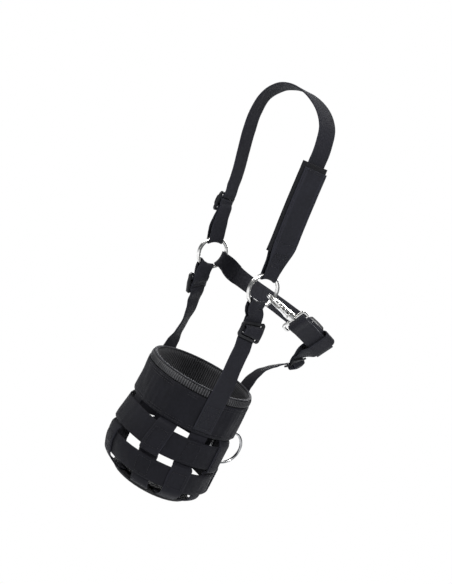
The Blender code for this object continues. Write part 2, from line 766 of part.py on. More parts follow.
def chin_route():
    """From the back of the noseband, up and round the throat strap."""
    throat_line = throat_route()
    held = throat_line.marks[12] - 0.5
    centre, travel, width, _ = throat_line.frame(held)
    across = -travel
    stations = [
        ((0, 70.6, 106), (-1, 0, 0)), ((0, 70.6, 128), (-1, 0, 0)), ((0, 70.8, 150), (-1, 0, 0)),
        ((0.5, 72.5, 165), (-1, 0.1, 0)), ((2, 77.5, 180), (-0.95, 0.3, 0)),
        ((5.5, 85, 192), (-0.85, 0.5, -0.1)), ((10, 95, 201), (-0.8, 0.58, -0.1)),
        ((17, 103, 206), (-0.75, 0.62, -0.15)), ((24.5, 109, 214.5), (-0.7, 0.68, -0.2)),
        ((30, 108.5, 225), (-0.5, 0.82, -0.3)),
        (centre - 19.0 * width, across), (centre - 4.0 * width, across),
        (centre + 8.0 * width, across), (centre + 20.0 * width, across),
    ]
    route = Route(stations)
    return route, route.marks[11] + 4.0


def chin(webbing, plastic):
    route, middle = chin_route()
    at = route.marks[8] - 1.0
    half = WEB_WIDTH / 2 + 0.4
    leg = 5.0
    path = [(0.0, 0.0), (at - 24.0, 0.0)] + slide_entry(at)
    path += [(middle - half - 2.0, leg - 0.6), (middle - half, leg)]
    path += turn_round(middle + half, leg, leg)
    path += [(middle - half, -leg), (middle - half - 2.0, -leg - 0.4)]
    path += slide_end(at)
    ribbon("chin_strap", route.place, densify(path, 8.0), webbing, lateral=2)
    slide("chin_adjuster", route.place, at, plastic)


# ---------------------------------------------------------------- snap hook

def loft(sections, sides=16, power=2.6):
    """Points and faces of a capped solid through (y, half_x, half_z, middle_x)."""
    points = []
    for y, half_x, half_z, middle_x in sections:
        for k in range(sides):
            angle = 2 * math.pi * (k + 0.5) / sides
            c = math.cos(angle)
            s = math.sin(angle)
            x = math.copysign(abs(c) ** (2 / power), c) * half_x + middle_x
            z = math.copysign(abs(s) ** (2 / power), s) * half_z
            points.append((x, y, z))
    faces = [tuple(range(sides)), tuple(range((len(sections) - 1) * sides, len(sections) * sides))]
    for i in range(len(sections) - 1):
        for k in range(sides):
            a = i * sides + k
            b = i * sides + (k + 1) % sides
            faces.append((a, b, b + sides, a + sides))
    return points, faces


def rod(line, radius, sides=10, closed=False, tilt=0.0):
    """Points and faces of a round rod along points that lie in the local xy plane."""
    points = []
    count = len(line)
    for i in range(count):
        before = Vector(line[(i - 1) % count if closed else max(0, i - 1)])
        after = Vector(line[(i + 1) % count if closed else min(count - 1, i + 1)])
        travel = (after - before).normalized()
        side = Vector((travel.y, -travel.x, 0.0))
        size = radius[i] if isinstance(radius, list) else radius
        for k in range(sides):
            angle = 2 * math.pi * (k + tilt) / sides
            lift = Vector((0.0, 0.0, math.sin(angle)))
            points.append(Vector(line[i]) + size * (math.cos(angle) * side + lift))
    faces = []
    for i in range(count if closed else count - 1):
        for k in range(sides):
            a = i * sides + k
            b = i * sides + (k + 1) % sides
            c = (i + 1) % count * sides + (k + 1) % sides
            d = (i + 1) % count * sides + k
            faces.append((a, b, c, d))
    if not closed:
        faces += [tuple(range(sides)), tuple(range((count - 1) * sides, count * sides))]
    return points, faces


def block(x, y, z):
    points = [(a, b, c) for a in x for b in y for c in z]
    faces = [(0, 1, 3, 2), (4, 5, 7, 6), (0, 1, 5, 4), (2, 3, 7, 6), (0, 2, 6, 4), (1, 3, 7, 5)]
    return points, faces


def place_snap(matrix, shape):
    points, faces = shape
    return [matrix @ Vector(p) for p in points], faces


def snap_body(matrix, nickel):
    """The cast body with its hook, bored for the bolt and for the swivel."""
    sections = [
        (BODY_FRONT, 10.0, 3.9, 0.4), (BODY_FRONT + 1.2, 11.0, 4.7, 0.4), (29.0, 10.6, 4.7, 0.3),
        (34.0, 8.6, 4.9, 0.1), (38.5, 6.0, 5.5, 0.0), (40.0, 5.7, 5.7, 0.0),
        (BODY_REAR - 1.0, 5.7, 5.7, 0.0), (BODY_REAR, 5.0, 5.0, 0.0),
    ]
    origin = matrix @ Vector((0.0, 0.5 * (POCKET[0] + POCKET[1]), 0.0))
    points, faces = place_snap(matrix, loft(sections))
    body = add_object("snap_body", points, faces, nickel, origin, smooth=True)
    hook = [(-HOOK_RADIUS, BODY_FRONT + 4.0, 0.0), (-HOOK_RADIUS, BODY_FRONT - 1.5, 0.0)]
    size = [HOOK_ROD, HOOK_ROD]
    for k in range(13):
        angle = math.radians(180.0 + 175.0 * k / 12)
        hook.append((HOOK_RADIUS * math.cos(angle), HOOK_CENTRE + HOOK_RADIUS * math.sin(angle), 0.0))
        size.append(HOOK_ROD - 0.2 * k / 12)
    tools = [
        ("hook", rod(hook, size, 10), "UNION"),
        ("bolt_bore", rod([(HOOK_RADIUS, 6.0, 0.0), (HOOK_RADIUS, 31.0, 0.0)], BOLT_BORE, 14), "DIFFERENCE"),
        ("thumb_slot", block((HOOK_RADIUS, 14.0), (13.2, 27.4), (-1.5, 1.5)), "DIFFERENCE"),
        ("pocket", rod([(0.0, POCKET[0], 0.0), (0.0, POCKET[1], 0.0)], POCKET_RADIUS, 14), "DIFFERENCE"),
        ("neck_hole", rod([(0.0, 43.0, 0.0), (0.0, 52.0, 0.0)], NECK_RADIUS, 12), "DIFFERENCE"),
    ]
    for name, shape, operation in tools:
        points, faces = place_snap(matrix, shape)
        tool = add_object("cutter_" + name, points, faces, nickel, origin)
        cut_or_join(body, tool, operation)


def snap_bolt(matrix, nickel):
    """The sliding bolt that shuts the hook, with its thumb stud."""
    tip = HOOK_CENTRE - HOOK_RADIUS * math.sin(math.radians(5.0)) + 0.45
    origin = matrix @ Vector((HOOK_RADIUS, 16.0, 0.0))
    line = [(HOOK_RADIUS, tip, 0.0), (HOOK_RADIUS, tip + 0.6, 0.0), (HOOK_RADIUS, 22.0, 0.0)]
    points, faces = place_snap(matrix, rod(line, [BOLT_ROD - 0.5, BOLT_ROD, BOLT_ROD], 12))
    bolt = add_object("snap_bolt", points, faces, nickel, origin, smooth=True)
    stem = block((HOOK_RADIUS, 12.6), (14.2, 18.0), (-1.1, 1.1))
    cap = [(12.1, 16.1, 0.0), (12.8, 16.1, 0.0), (14.0, 16.1, 0.0), (14.6, 16.1, 0.0)]
    tools = [("stem", stem), ("stud", rod(cap, [2.8, 3.3, 3.3, 2.5], 14))]
    for name, shape in tools:
        points, faces = place_snap(matrix, shape)
        tool = add_object("cutter_" + name, points, faces, nickel, origin)
        cut_or_join(bolt, tool, "UNION")


def snap_eye(matrix, nickel):
    """The square swivel eye that holds the throat webbing."""
    turned = matrix @ Matrix.Rotation(-math.pi / 2 + eye_turn(), 4, "Y")
    corner = 3.0
    width = EYE_HALF_WIDTH
    line = []
    for sx, y, sy in ((1, EYE_FAR, 1), (-1, EYE_FAR, 1), (-1, EYE_NEAR, -1), (1, EYE_NEAR, -1)):
        first = 0.0 if sx * sy > 0 else 90.0
        for k in range(4):
            angle = math.radians(first + 30.0 * k)
            line.append((
                sx * (width - corner + corner * abs(math.cos(angle))),
                y - sy * (corner - corner * abs(math.sin(angle))), 0.0))
    points, faces = place_snap(turned, rod(line, EYE_WIRE, 10, closed=True))
    eye = add_object("snap_eye", points, faces, nickel, smooth=True)
    stem = [
        (0.0, POCKET[0] + 0.4, 0.0), (0.0, POCKET[1] - 0.4, 0.0), (0.0, POCKET[1] - 0.39, 0.0),
        (0.0, BODY_REAR + 0.4, 0.0), (0.0, BODY_REAR + 0.41, 0.0), (0.0, EYE_NEAR, 0.0),
    ]
    neck = NECK_RADIUS - GAP
    size = [POCKET_RADIUS - 0.35, POCKET_RADIUS - 0.35, neck, neck, 3.2, 3.2]
    points, faces = place_snap(turned, rod(stem, size, 12))
    tool = add_object("cutter_swivel_pin", points, faces, nickel)
    cut_or_join(eye, tool, "UNION")


def snap(nickel):
    wire, side, along, up = snap_axes()
    matrix = frame_matrix(side, along, up, wire)
    snap_body(matrix, nickel)
    snap_bolt(matrix, nickel)
    snap_eye(matrix, nickel)


# ---------------------------------------------------------------- assembly

def build():
    clear_scene()
    webbing = material("webbing_black", (0.018, 0.018, 0.022), 0.78, 0.0)
    lining = material("lining_ribbed", (0.030, 0.033, 0.042), 0.85, 0.0)
    binding = material("rim_binding_grey", (0.16, 0.16, 0.17), 0.7, 0.0)
    rubber = material("rubber_black", (0.014, 0.014, 0.015), 0.6, 0.0)
    plastic = material("adjuster_black", (0.016, 0.016, 0.018), 0.42, 0.0)
    nickel = material("nickel", (0.62, 0.60, 0.57), 0.22, 1.0)
    hook_tape = material("hook_tape_black", (0.012, 0.012, 0.015), 0.95, 0.0)
    basket(webbing, lining, binding, rubber)
    for name, side in (("near_ring", 1), ("far_ring", -1)):
        torus(name, (side * RING_X, RING_Y, RING_Z), (1, 0, 0), RING_RADIUS, RING_WIRE, nickel)
    chin_ring(nickel)
    cheek_strap("near_cheek_strap", 1, "near_cheek_adjuster", 34.0, webbing, plastic)
    cheek_strap("far_cheek_strap", -1, "far_cheek_adjuster", 25.0, webbing, plastic)
    crown(webbing, hook_tape, plastic)
    throat(webbing, plastic)
    chin(webbing, plastic)
    snap(nickel)


build()
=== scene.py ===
"""Looks of the horse grazing muzzle: webbing, stitching, lining, metal and studio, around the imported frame."""

import math
import random

import bmesh
import bpy
from mathutils import Matrix, Vector, noise


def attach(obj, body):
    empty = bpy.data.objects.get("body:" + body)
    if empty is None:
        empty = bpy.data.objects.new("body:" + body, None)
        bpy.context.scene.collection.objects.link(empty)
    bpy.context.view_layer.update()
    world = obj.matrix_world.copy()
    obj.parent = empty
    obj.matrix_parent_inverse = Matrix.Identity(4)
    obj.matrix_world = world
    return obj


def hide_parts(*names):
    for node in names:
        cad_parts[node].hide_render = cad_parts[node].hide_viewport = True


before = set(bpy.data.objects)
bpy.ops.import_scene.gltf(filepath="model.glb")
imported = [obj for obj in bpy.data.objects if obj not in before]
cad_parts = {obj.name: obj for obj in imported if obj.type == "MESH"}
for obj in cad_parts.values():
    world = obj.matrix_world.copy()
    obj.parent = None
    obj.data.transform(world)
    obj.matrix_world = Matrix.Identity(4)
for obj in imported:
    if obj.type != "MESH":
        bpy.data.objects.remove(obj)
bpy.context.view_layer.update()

ROOT = "basket_and_straps"
CROWN = "crown"

MM = 0.001
PART_ORIGIN = Vector((2.0, -29.5, 0.0))
WEB_WIDTH = 25.0
WEB_THICK = 2.0
GAP = 0.3
BASKET_HALF_X = 75.0
BASKET_HALF_Y = 68.0
BAND_THICK = 2.2
BAND_SEGMENTS = 48
CORNER_RADIUS = 18.0
NOSE_BULGE = 0.13
BULGE_HEIGHTS = (6.0, 42.0, 59.0, 102.0)
BASE_STRAP_Z = 5.3
UPRIGHTS = [
    ("front", 350.0), ("front_near", 45.0), ("near", 79.0), ("back_near", 115.0),
    ("back", 151.0), ("back_far", 203.0), ("far", 251.0), ("front_far", 289.0),
]
UPRIGHT_TOP_Z = 146.0
UPRIGHT_END_RADIUS = 41.0
WEAVE_OUT = 2.5
BOTTOM_BAND_Z = (21.5, 50.0)
BOTTOM_LIFT = 6.0
BOTTOM_LIFT_AT = 272.0
BOTTOM_LIFT_SPREAD = 42.0
MIDDLE_BAND_Z = (59.0, 92.0)
MIDDLE_LIFT = 3.0
MIDDLE_LIFT_AT = 5.0
MIDDLE_LIFT_SPREAD = 45.0
TOP_BAND_Z = (101.8, 148.0)
DISC_THICK = 4.0
DISC_HALF_X = 58.0
DISC_HALF_Y = 52.0
DISC_HOLE_RADIUS = 17.0
INNER_DISC_Z = (6.6, 8.4)
INNER_DISC_HALF_X = 50.0
INNER_DISC_HALF_Y = 44.0
INNER_DISC_HOLE_RADIUS = 20.0
RING_RADIUS = 20.0
RING_WIRE = 2.5
RING_X = 67.0
RING_Y = -24.5
RING_Z = 297.0
CHIN_RING_RADIUS = 23.0
CHIN_RING_WIRE = 2.0
CHIN_RING_X = 16.0
CHIN_RING_PIVOT_Z = 93.4
CHIN_RING_LEAN = 27.2
FOLD_SIDE = RING_WIRE + GAP + WEB_THICK / 2
FOLD_REACH = 4.6
FOLD_NARROW = 0.8
FOLD_BLEND = 24.0
SLIDE_HALF_WIDTH = 17.0
SLIDE_SLOT_HALF_WIDTH = 12.9
SLIDE_MIDDLE_BAR = 2.0
SLIDE_OUTER_BAR = (8.4, 11.5)
SLIDE_HALF_THICK = 1.5
SLIDE_NEAR = 2.9
SLIDE_FAR = 5.2
TAB_WIDTH = 34.0
TAB_LENGTH = 140.0
PAD_WIDTH = 38.0
PAD_THICK = 1.6
PAD_SHIFT = 2.5
PAD_START = 34.0
PAD_END = 146.0
SNAP_ANGLE = -17.0
HOOK_CENTRE = 2.7
HOOK_RADIUS = 8.0
HOOK_ROD = 2.4
BOLT_ROD = 2.0
BOLT_BORE = 2.35
BOLT_TRAVEL = 8.0
BODY_FRONT = 9.0
BODY_REAR = 49.0
POCKET = (41.0, 45.5)
POCKET_RADIUS = 4.0
NECK_RADIUS = 2.2
EYE_NEAR = 54.5
EYE_FAR = 67.0
EYE_HALF_WIDTH = 16.0
EYE_WIRE = 2.0
RIB_PITCH = 3.3
RIB_COUNT = 134
RIB_STEPS = RIB_COUNT * 6
CAMERA_LENS = 67.667
CAMERA_SHIFT = (0.01448, 0.08944)
CAMERA_AT = Vector((1111.814, -807.78, 467.133))
CAMERA_RIGHT = Vector((0.45510749, 0.77272432, 0.4424639))
CAMERA_UP = Vector((-0.40273822, -0.26454546, 0.87625203))
CAMERA_BACK = Vector((0.79415307, -0.57698598, 0.190809))
FLOOR_HEIGHT = -0.28
WORLD_LIGHT = 0.24
LIGHTS = [
    ("key", (1.5, -0.5, 1.4), 62.0, 0.6),
    ("rim", (-0.9, -1.0, 1.1), 26.0, 0.6),
    ("top", (-0.1, 0.5, 1.8), 22.0, 0.9),
    ("back", (-1.2, 1.2, 0.7), 22.0, 0.9),
]


def smoothstep(value):
    value = min(1.0, max(0.0, value))
    return value * value * (3.0 - 2.0 * value)


def ring_point(side, degrees):
    """Centre of the cheek ring's wire, and its outward and tangent directions."""
    angle = math.radians(degrees)
    outward = Vector((0.0, math.cos(angle), math.sin(angle)))
    tangent = Vector((0.0, -math.sin(angle), math.cos(angle)))
    centre = Vector((side * RING_X, RING_Y, RING_Z))
    return centre + RING_RADIUS * outward, outward, tangent


class Route:
    """A smooth centre line with a width direction at every point along it."""

    def __init__(self, stations, per_span=14):
        points = [Vector(p) for p, _ in stations]
        hints = [Vector(w).normalized() for _, w in stations]
        ends = [2 * points[0] - points[1]] + points + [2 * points[-1] - points[-2]]
        self.points = []
        self.hints = []
        self.marks = []
        for i in range(len(points) - 1):
            a, b, c, d = ends[i:i + 4]
            for k in range(per_span):
                t = k / per_span
                self.points.append(self.spline(a, b, c, d, t))
                self.hints.append(hints[i].lerp(hints[i + 1], smoothstep(t)))
        self.points.append(points[-1])
        self.hints.append(hints[-1])
        self.lengths = [0.0]
        for a, b in zip(self.points, self.points[1:]):
            self.lengths.append(self.lengths[-1] + (b - a).length)
        self.marks = [self.lengths[i * per_span] for i in range(len(points))]

    @staticmethod
    def spline(a, b, c, d, t):
        """Centripetal Catmull-Rom between b and c."""
        t0 = 0.0
        t1 = t0 + max(1e-6, (b - a).length) ** 0.5
        t2 = t1 + max(1e-6, (c - b).length) ** 0.5
        t3 = t2 + max(1e-6, (d - c).length) ** 0.5
        u = t1 + t * (t2 - t1)
        ab = a * ((t1 - u) / (t1 - t0)) + b * ((u - t0) / (t1 - t0))
        bc = b * ((t2 - u) / (t2 - t1)) + c * ((u - t1) / (t2 - t1))
        cd = c * ((t3 - u) / (t3 - t2)) + d * ((u - t2) / (t3 - t2))
        abc = ab * ((t2 - u) / (t2 - t0)) + bc * ((u - t0) / (t2 - t0))
        bcd = bc * ((t3 - u) / (t3 - t1)) + cd * ((u - t1) / (t3 - t1))
        return abc * ((t2 - u) / (t2 - t1)) + bcd * ((u - t1) / (t2 - t1))

    def frame(self, along):
        """Point, tangent, width direction and face normal at this length."""
        last = len(self.points) - 1
        i = 0
        while i < last - 1 and self.lengths[i + 1] < along:
            i += 1
        share = (along - self.lengths[i]) / (self.lengths[i + 1] - self.lengths[i])
        point = self.points[i] + share * (self.points[i + 1] - self.points[i])
        inside = min(1.0, max(0.0, share))
        before = self.tangent(i)
        tangent = before.lerp(self.tangent(i + 1), inside).normalized()
        hint = self.hints[i].lerp(self.hints[i + 1], inside)
        width = (hint - tangent * hint.dot(tangent)).normalized()
        return point, tangent, width, width.cross(tangent).normalized()

    def tangent(self, i):
        low = max(0, i - 1)
        high = min(len(self.points) - 1, i + 1)
        return (self.points[high] - self.points[low]).normalized()

    def place(self, along, out, across):
        point, _, width, normal = self.frame(along)
        return point + out * normal + across * width

    def matrix(self, along):
        point, tangent, width, normal = self.frame(along)
        return frame_matrix(width, tangent, normal, point)


def densify(path, step):
    """Splits long runs so that a mapped ribbon follows its curve."""
    made = [path[0]]
    for a, b in zip(path, path[1:]):
        count = max(1, math.ceil(math.hypot(b[0] - a[0], b[1] - a[1]) / step))
        for k in range(1, count + 1):
            made.append((a[0] + (b[0] - a[0]) * k / count, a[1] + (b[1] - a[1]) * k / count))
    return made


def fold_place(route, folds):
    """Maps a strap so that it bends and narrows where it folds round a ring.

    folds holds (length of the ring wire, +1 where the ring's centre lies further
    along the route or -1 where it lies before it).
    """
    def place(along, out, across):
        for wire, way in folds:
            near = smoothstep(1.0 - (wire - along) * way / FOLD_BLEND)
            across *= 1.0 - (1.0 - FOLD_NARROW) * near
            bend = RING_RADIUS - math.sqrt(RING_RADIUS ** 2 - min(across ** 2, 200.0))
            along += way * near * bend
        return route.place(along, out, across)
    return place


def turn_round(centre, reach, side, steps=6, start=90.0):
    """A half turn from the front face round to the back face."""
    made = []
    for k in range(steps + 1):
        angle = math.radians(start - 180.0 * k / steps)
        made.append((centre + reach * math.cos(angle), side * math.sin(angle)))
    return made


def slide_entry(at):
    """A strap's way in through a slide: under, over the middle bar, and under."""
    near = SLIDE_NEAR
    far = SLIDE_FAR
    return [
        (at - 13.0, -near), (at - 8.3, -near), (at - 6.7, -2.1), (at - 6.0, -0.5),
        (at - 6.0, 2.6), (at - 5.2, 4.4), (at - 3.5, far), (at + 3.5, far),
        (at + 5.2, 4.4), (at + 6.0, 2.6), (at + 6.0, -0.5), (at + 6.7, -2.1),
        (at + 8.3, -near), (at + 12.0, -near),
    ]


def slide_end(at):
    """The sewn end of a strap, wrapped round the middle bar of its slide."""
    near = SLIDE_NEAR
    return [
        (at + 12.0, -SLIDE_FAR - 0.1), (at + 7.0, -SLIDE_FAR - 0.1), (at + 4.4, -4.8),
        (at + 1.0, -near), (at - 1.8, -near), (at - 3.2, -2.5), (at - 3.6, -1.0),
        (at - 3.6, 1.0), (at - 3.2, 2.5), (at - 1.8, near), (at + 1.5, near),
    ]


def ellipse_angle(degrees):
    """The ellipse parameter whose point lies at this azimuth from the nose side."""
    angle = math.radians(degrees)
    return math.atan2(BASKET_HALF_Y * math.sin(angle), BASKET_HALF_X * math.cos(angle))


def ellipse_point(angle):
    return Vector((BASKET_HALF_X * math.sin(angle), -BASKET_HALF_Y * math.cos(angle), 0.0))


def ellipse_normal(angle):
    return Vector((BASKET_HALF_Y * math.sin(angle), -BASKET_HALF_X * math.cos(angle), 0.0)).normalized()


def bulged(point):
    """The nose side stands out a little between the base and the noseband."""
    low, full, ease, high = BULGE_HEIGHTS
    share = smoothstep((point.z - low) / (full - low)) * smoothstep((high - point.z) / (high - ease))
    if point.y < 0:
        point.y *= 1.0 + NOSE_BULGE * share
    return point


def wall_place(angle, inward=None):
    """Maps (up from the base corner, out from the wall, across) onto the basket."""
    centre = ellipse_point(angle)
    speed = math.hypot(BASKET_HALF_X * math.cos(angle), BASKET_HALF_Y * math.sin(angle))
    inward = inward or -centre.normalized()
    quarter = math.pi * CORNER_RADIUS / 2

    def place(up, out, across):
        here = angle + across / speed
        point = ellipse_point(here)
        normal = ellipse_normal(here)
        if up >= 0:
            height = BASE_STRAP_Z + CORNER_RADIUS + up
            return bulged(point + out * normal + Vector((0, 0, height)))
        turned = min(-up, quarter) / CORNER_RADIUS
        inset = CORNER_RADIUS * (1 - math.cos(turned)) + max(0.0, -up - quarter)
        height = BASE_STRAP_Z + CORNER_RADIUS * (1 - math.sin(turned)) - out * math.sin(turned)
        point = point + inset * inward + out * math.cos(turned) * normal
        return bulged(point + Vector((0, 0, height)))
    return place


def up_of(height):
    """Distance up the wall from the base corner, following the corner's curve."""
    rise = height - BASE_STRAP_Z - CORNER_RADIUS
    if rise >= 0:
        return rise
    return -CORNER_RADIUS * math.asin(min(1.0, -rise / CORNER_RADIUS))


def ride_up(angle, height, centre, spread):
    """A smooth rise of this height, centred on one side of the basket."""
    apart = abs((math.degrees(angle) - centre + 180.0) % 360.0 - 180.0)
    return height * smoothstep(1.0 - apart / spread)


def lift_at(angle):
    """How far the bottom band rides up on the far side, at this ellipse angle."""
    return ride_up(angle, BOTTOM_LIFT, BOTTOM_LIFT_AT, BOTTOM_LIFT_SPREAD)


def middle_lift_at(angle):
    """How far the middle band rides up on the nose, at this ellipse angle."""
    return ride_up(angle, MIDDLE_LIFT, MIDDLE_LIFT_AT, MIDDLE_LIFT_SPREAD)


def upright_path(over_middle, angle):
    """An upright's weave: over or under the middle band, then the other way."""
    top = up_of(UPRIGHT_TOP_Z)
    middle_low, middle_high = (up_of(z) + middle_lift_at(angle) for z in MIDDLE_BAND_Z)
    bottom_low, bottom_high = (up_of(z) + lift_at(angle) for z in BOTTOM_BAND_Z)
    top_low = up_of(TOP_BAND_Z[0])
    inner = -WEAVE_OUT
    middle = WEAVE_OUT if over_middle else inner
    bottom = -middle if over_middle else WEAVE_OUT
    path = [(top, inner), (top_low - 0.4, inner)]
    if over_middle:
        path += [(top_low - 2.6, inner + 0.6), (middle_high + 3.0, middle - 0.6)]
    path += [(middle_high + 0.8, middle), (0.5 * (middle_low + middle_high), middle)]
    path += [(middle_low - 0.8, middle)]
    path += [(middle_low - 3.0, middle - math.copysign(0.6, middle))]
    path += [(bottom_high + 4.0, bottom - math.copysign(0.6, bottom))]
    path += [(bottom_high + 2.2, bottom), (0.5 * (bottom_low + bottom_high), bottom)]
    path += [(bottom_low - 2.0, bottom)]
    path += [(bottom_low - 7.0, bottom * 0.5), (bottom_low - 12.0, 0.0)]
    return path


def cheek_route(side):
    """From the noseband up to the cheek ring on the near (+1) or far (-1) side."""
    wire, outward, tangent = ring_point(side, -90.0 if side > 0 else -96.0)
    across = side * tangent
    if side > 0:
        middle = [
            ((75.3, -16.6, 107), (0.26, 1, 0)), ((75.3, -16.6, 126), (0.26, 1, 0)),
            ((75.4, -16.6, 150), (0.26, 1, 0)), ((75.4, -16, 172), (0.15, 1, 0)),
            ((74.8, -17, 192), (0, 1, 0)), ((73.8, -17.5, 214), (0, 1, 0)),
            ((72.4, -16.5, 232), (0, 1, 0)), ((70.8, -15.5, 250), (0, 1, 0)),
            ((68.8, -19, 266), (0, 1, 0)),
        ]
    else:
        middle = [
            ((-76, -13.5, 107), (0.21, -1, 0)), ((-76, -13.5, 126), (0.21, -1, 0)),
            ((-76.2, -13.5, 150), (0.21, -1, 0)), ((-76, -13, 166), (0.35, -0.94, 0)),
            ((-75, -12, 182), (0.6, -0.8, 0)), ((-74, -11, 199), (0.65, -0.76, 0)),
            ((-73, -12, 218), (0.5, -0.87, 0)), ((-71.8, -17, 236), (0.35, -0.94, 0)),
            ((-70, -23.5, 252), (0.3, -0.95, 0)), ((-68.2, -26.6, 266), (0.1, -1, 0)),
        ]
    end = [(wire + 4.0 * outward, across), (wire - 6.0 * outward, across)]
    return Route(middle + end), wire


def crown_route():
    """From the near ring's wire, over the poll, to the far ring's wire."""
    near_wire, near_out, near_tangent = ring_point(1, 95.0)
    far_wire, far_out, far_tangent = ring_point(-1, 108.0)
    across = Vector((0.0, 1.0, 0.0))
    turned = Vector((-0.38, 0.92, 0.0))
    stations = [
        (near_wire - 6.0 * near_out, -near_tangent), (near_wire + 4.0 * near_out, -near_tangent),
        ((67.6, -27, 334), across), ((67.6, -28.5, 358), across), ((67, -31, 384), across),
        ((66.4, -33, 408), across), ((65.4, -34.5, 434), across), ((63.6, -35.5, 460), across),
        ((61, -37, 481), across), ((56, -40, 500), across), ((46, -47, 514), across),
        ((31, -57, 523.5), across), ((14, -66, 527), across), ((-4, -72, 525), (-0.15, 1, 0)),
        ((-22, -75, 517), (-0.35, 0.94, 0)), ((-40, -75, 500), (-0.48, 0.88, 0)),
        ((-51, -70, 478), (-0.43, 0.9, 0)), ((-58, -62, 455), turned),
        ((-62, -54, 432), turned), ((-64.5, -46.5, 408), turned),
        ((-66, -42.5, 388), turned), ((-66.6, -43, 366), turned),
        ((-67, -40, 344), (-0.32, 0.94, 0.1)), ((-67.1, -35.5, 329), (-0.15, 0.98, 0.2)),
        (far_wire + 4.0 * far_out, -far_tangent), (far_wire - 6.0 * far_out, -far_tangent),
    ]
    return Route(stations)


def snap_axes():
    """The snap's place on the near ring: width, length and thickness directions."""
    wire, _, tangent = ring_point(1, SNAP_ANGLE)
    along = Vector((-0.202, 0.941, -0.272))
    along = (along - tangent * along.dot(tangent)).normalized()
    return wire, along.cross(tangent), along, tangent


def eye_turn():
    """The eye is turned about the snap's axis, to lie with the throat webbing."""
    return math.radians(17.0)


def throat_route():
    """From the far ring, behind the throat, round its bend, and to the snap's eye."""
    far_wire, far_out, far_tangent = ring_point(-1, -13.0)
    wire, side, along, up = snap_axes()
    bar = wire + EYE_FAR * along
    eye_width = math.cos(eye_turn()) * up + math.sin(eye_turn()) * side
    stations = [
        (far_wire - 6.0 * far_out, far_tangent), (far_wire + 9.0 * far_out, far_tangent),
        ((-59.5, 14, 284.5), (-0.2, 0.4, 0.9)), ((-52, 27, 281), (-0.35, 0.5, 0.8)),
        ((-41, 46, 277), (-0.4, 0.5, 0.76)), ((-27, 68, 273), (-0.38, 0.52, 0.76)),
        ((-12, 88, 268.5), (-0.3, 0.53, 0.8)), ((1, 106, 264), (-0.2, 0.52, 0.83)),
        ((11, 122, 258), (-0.1, 0.52, 0.85)), ((19, 135.5, 250), (0.05, 0.5, 0.86)),
        ((26.5, 140.5, 245.5), (0.2, 0.45, 0.86)), ((33.5, 134, 247), (0.25, 0.42, 0.86)),
        ((39, 116, 253.5), (0.27, 0.4, 0.87)), ((44, 95, 260), (0.28, 0.36, 0.88)),
        ((49, 75, 266.5), eye_width), (bar + 3.0 * along, eye_width), (bar - 4.0 * along, eye_width),
    ]
    return Route(stations)


def chin_route():
    """From the back of the noseband, up and round the throat strap."""
    throat_line = throat_route()
    held = throat_line.marks[12] - 0.5
    centre, travel, width, _ = throat_line.frame(held)
    across = -travel
    stations = [
        ((0, 70.6, 106), (-1, 0, 0)), ((0, 70.6, 128), (-1, 0, 0)), ((0, 70.8, 150), (-1, 0, 0)),
        ((0.5, 72.5, 165), (-1, 0.1, 0)), ((2, 77.5, 180), (-0.95, 0.3, 0)),
        ((5.5, 85, 192), (-0.85, 0.5, -0.1)), ((10, 95, 201), (-0.8, 0.58, -0.1)),
        ((17, 103, 206), (-0.75, 0.62, -0.15)), ((24.5, 109, 214.5), (-0.7, 0.68, -0.2)),
        ((30, 108.5, 225), (-0.5, 0.82, -0.3)),
        (centre - 19.0 * width, across), (centre - 4.0 * width, across),
        (centre + 8.0 * width, across), (centre + 20.0 * width, across),
    ]
    route = Route(stations)
    return route, route.marks[11] + 4.0


# ---------------------------------------------------------------- materials

class Shader:
    """A small helper for building one node material."""

    def __init__(self, name, colour, roughness, metallic=0.0):
        self.material = bpy.data.materials.new(name)
        self.material.use_nodes = True
        self.tree = self.material.node_tree
        self.principled = self.tree.nodes["Principled BSDF"]
        self.principled.inputs["Base Color"].default_value = (*colour, 1.0)
        self.principled.inputs["Roughness"].default_value = roughness
        self.principled.inputs["Metallic"].default_value = metallic

    def node(self, kind, **settings):
        made = self.tree.nodes.new(kind)
        for key, value in settings.items():
            if key in made.inputs:
                made.inputs[key].default_value = value
            else:
                setattr(made, key, value)
        return made

    def link(self, a, b):
        self.tree.links.new(a, b)

    def math(self, operation, a, b=None, clamp=False):
        made = self.tree.nodes.new("ShaderNodeMath")
        made.operation = operation
        made.use_clamp = clamp
        for socket, value in zip(made.inputs, (a, b)):
            if value is None:
                continue
            if isinstance(value, (int, float)):
                socket.default_value = value
            else:
                self.link(value, socket)
        return made.outputs[0]

    def noise(self, scale, detail=3.0, roughness=0.55, vector=None):
        made = self.node("ShaderNodeTexNoise", Scale=scale, Detail=detail, Roughness=roughness)
        self.link(vector or self.coordinates(), made.inputs["Vector"])
        return made.outputs["Fac"]

    def coordinates(self):
        return self.node("ShaderNodeTexCoord").outputs["Object"]

    def ramp(self, factor, stops):
        made = self.tree.nodes.new("ShaderNodeValToRGB")
        line = made.color_ramp
        while len(line.elements) < len(stops):
            line.elements.new(0.5)
        for element, (place, colour) in zip(line.elements, stops):
            element.position = place
            element.color = (*colour, 1.0)
        self.link(factor, made.inputs["Fac"])
        return made.outputs["Color"]

    def colour(self, value):
        self.link(value, self.principled.inputs["Base Color"])

    def roughness(self, value):
        self.link(value, self.principled.inputs["Roughness"])

    def bump(self, height, depth, strength=1.0):
        made = self.node("ShaderNodeBump", Strength=strength, Distance=depth)
        self.link(height, made.inputs["Height"])
        self.link(made.outputs["Normal"], self.principled.inputs["Normal"])


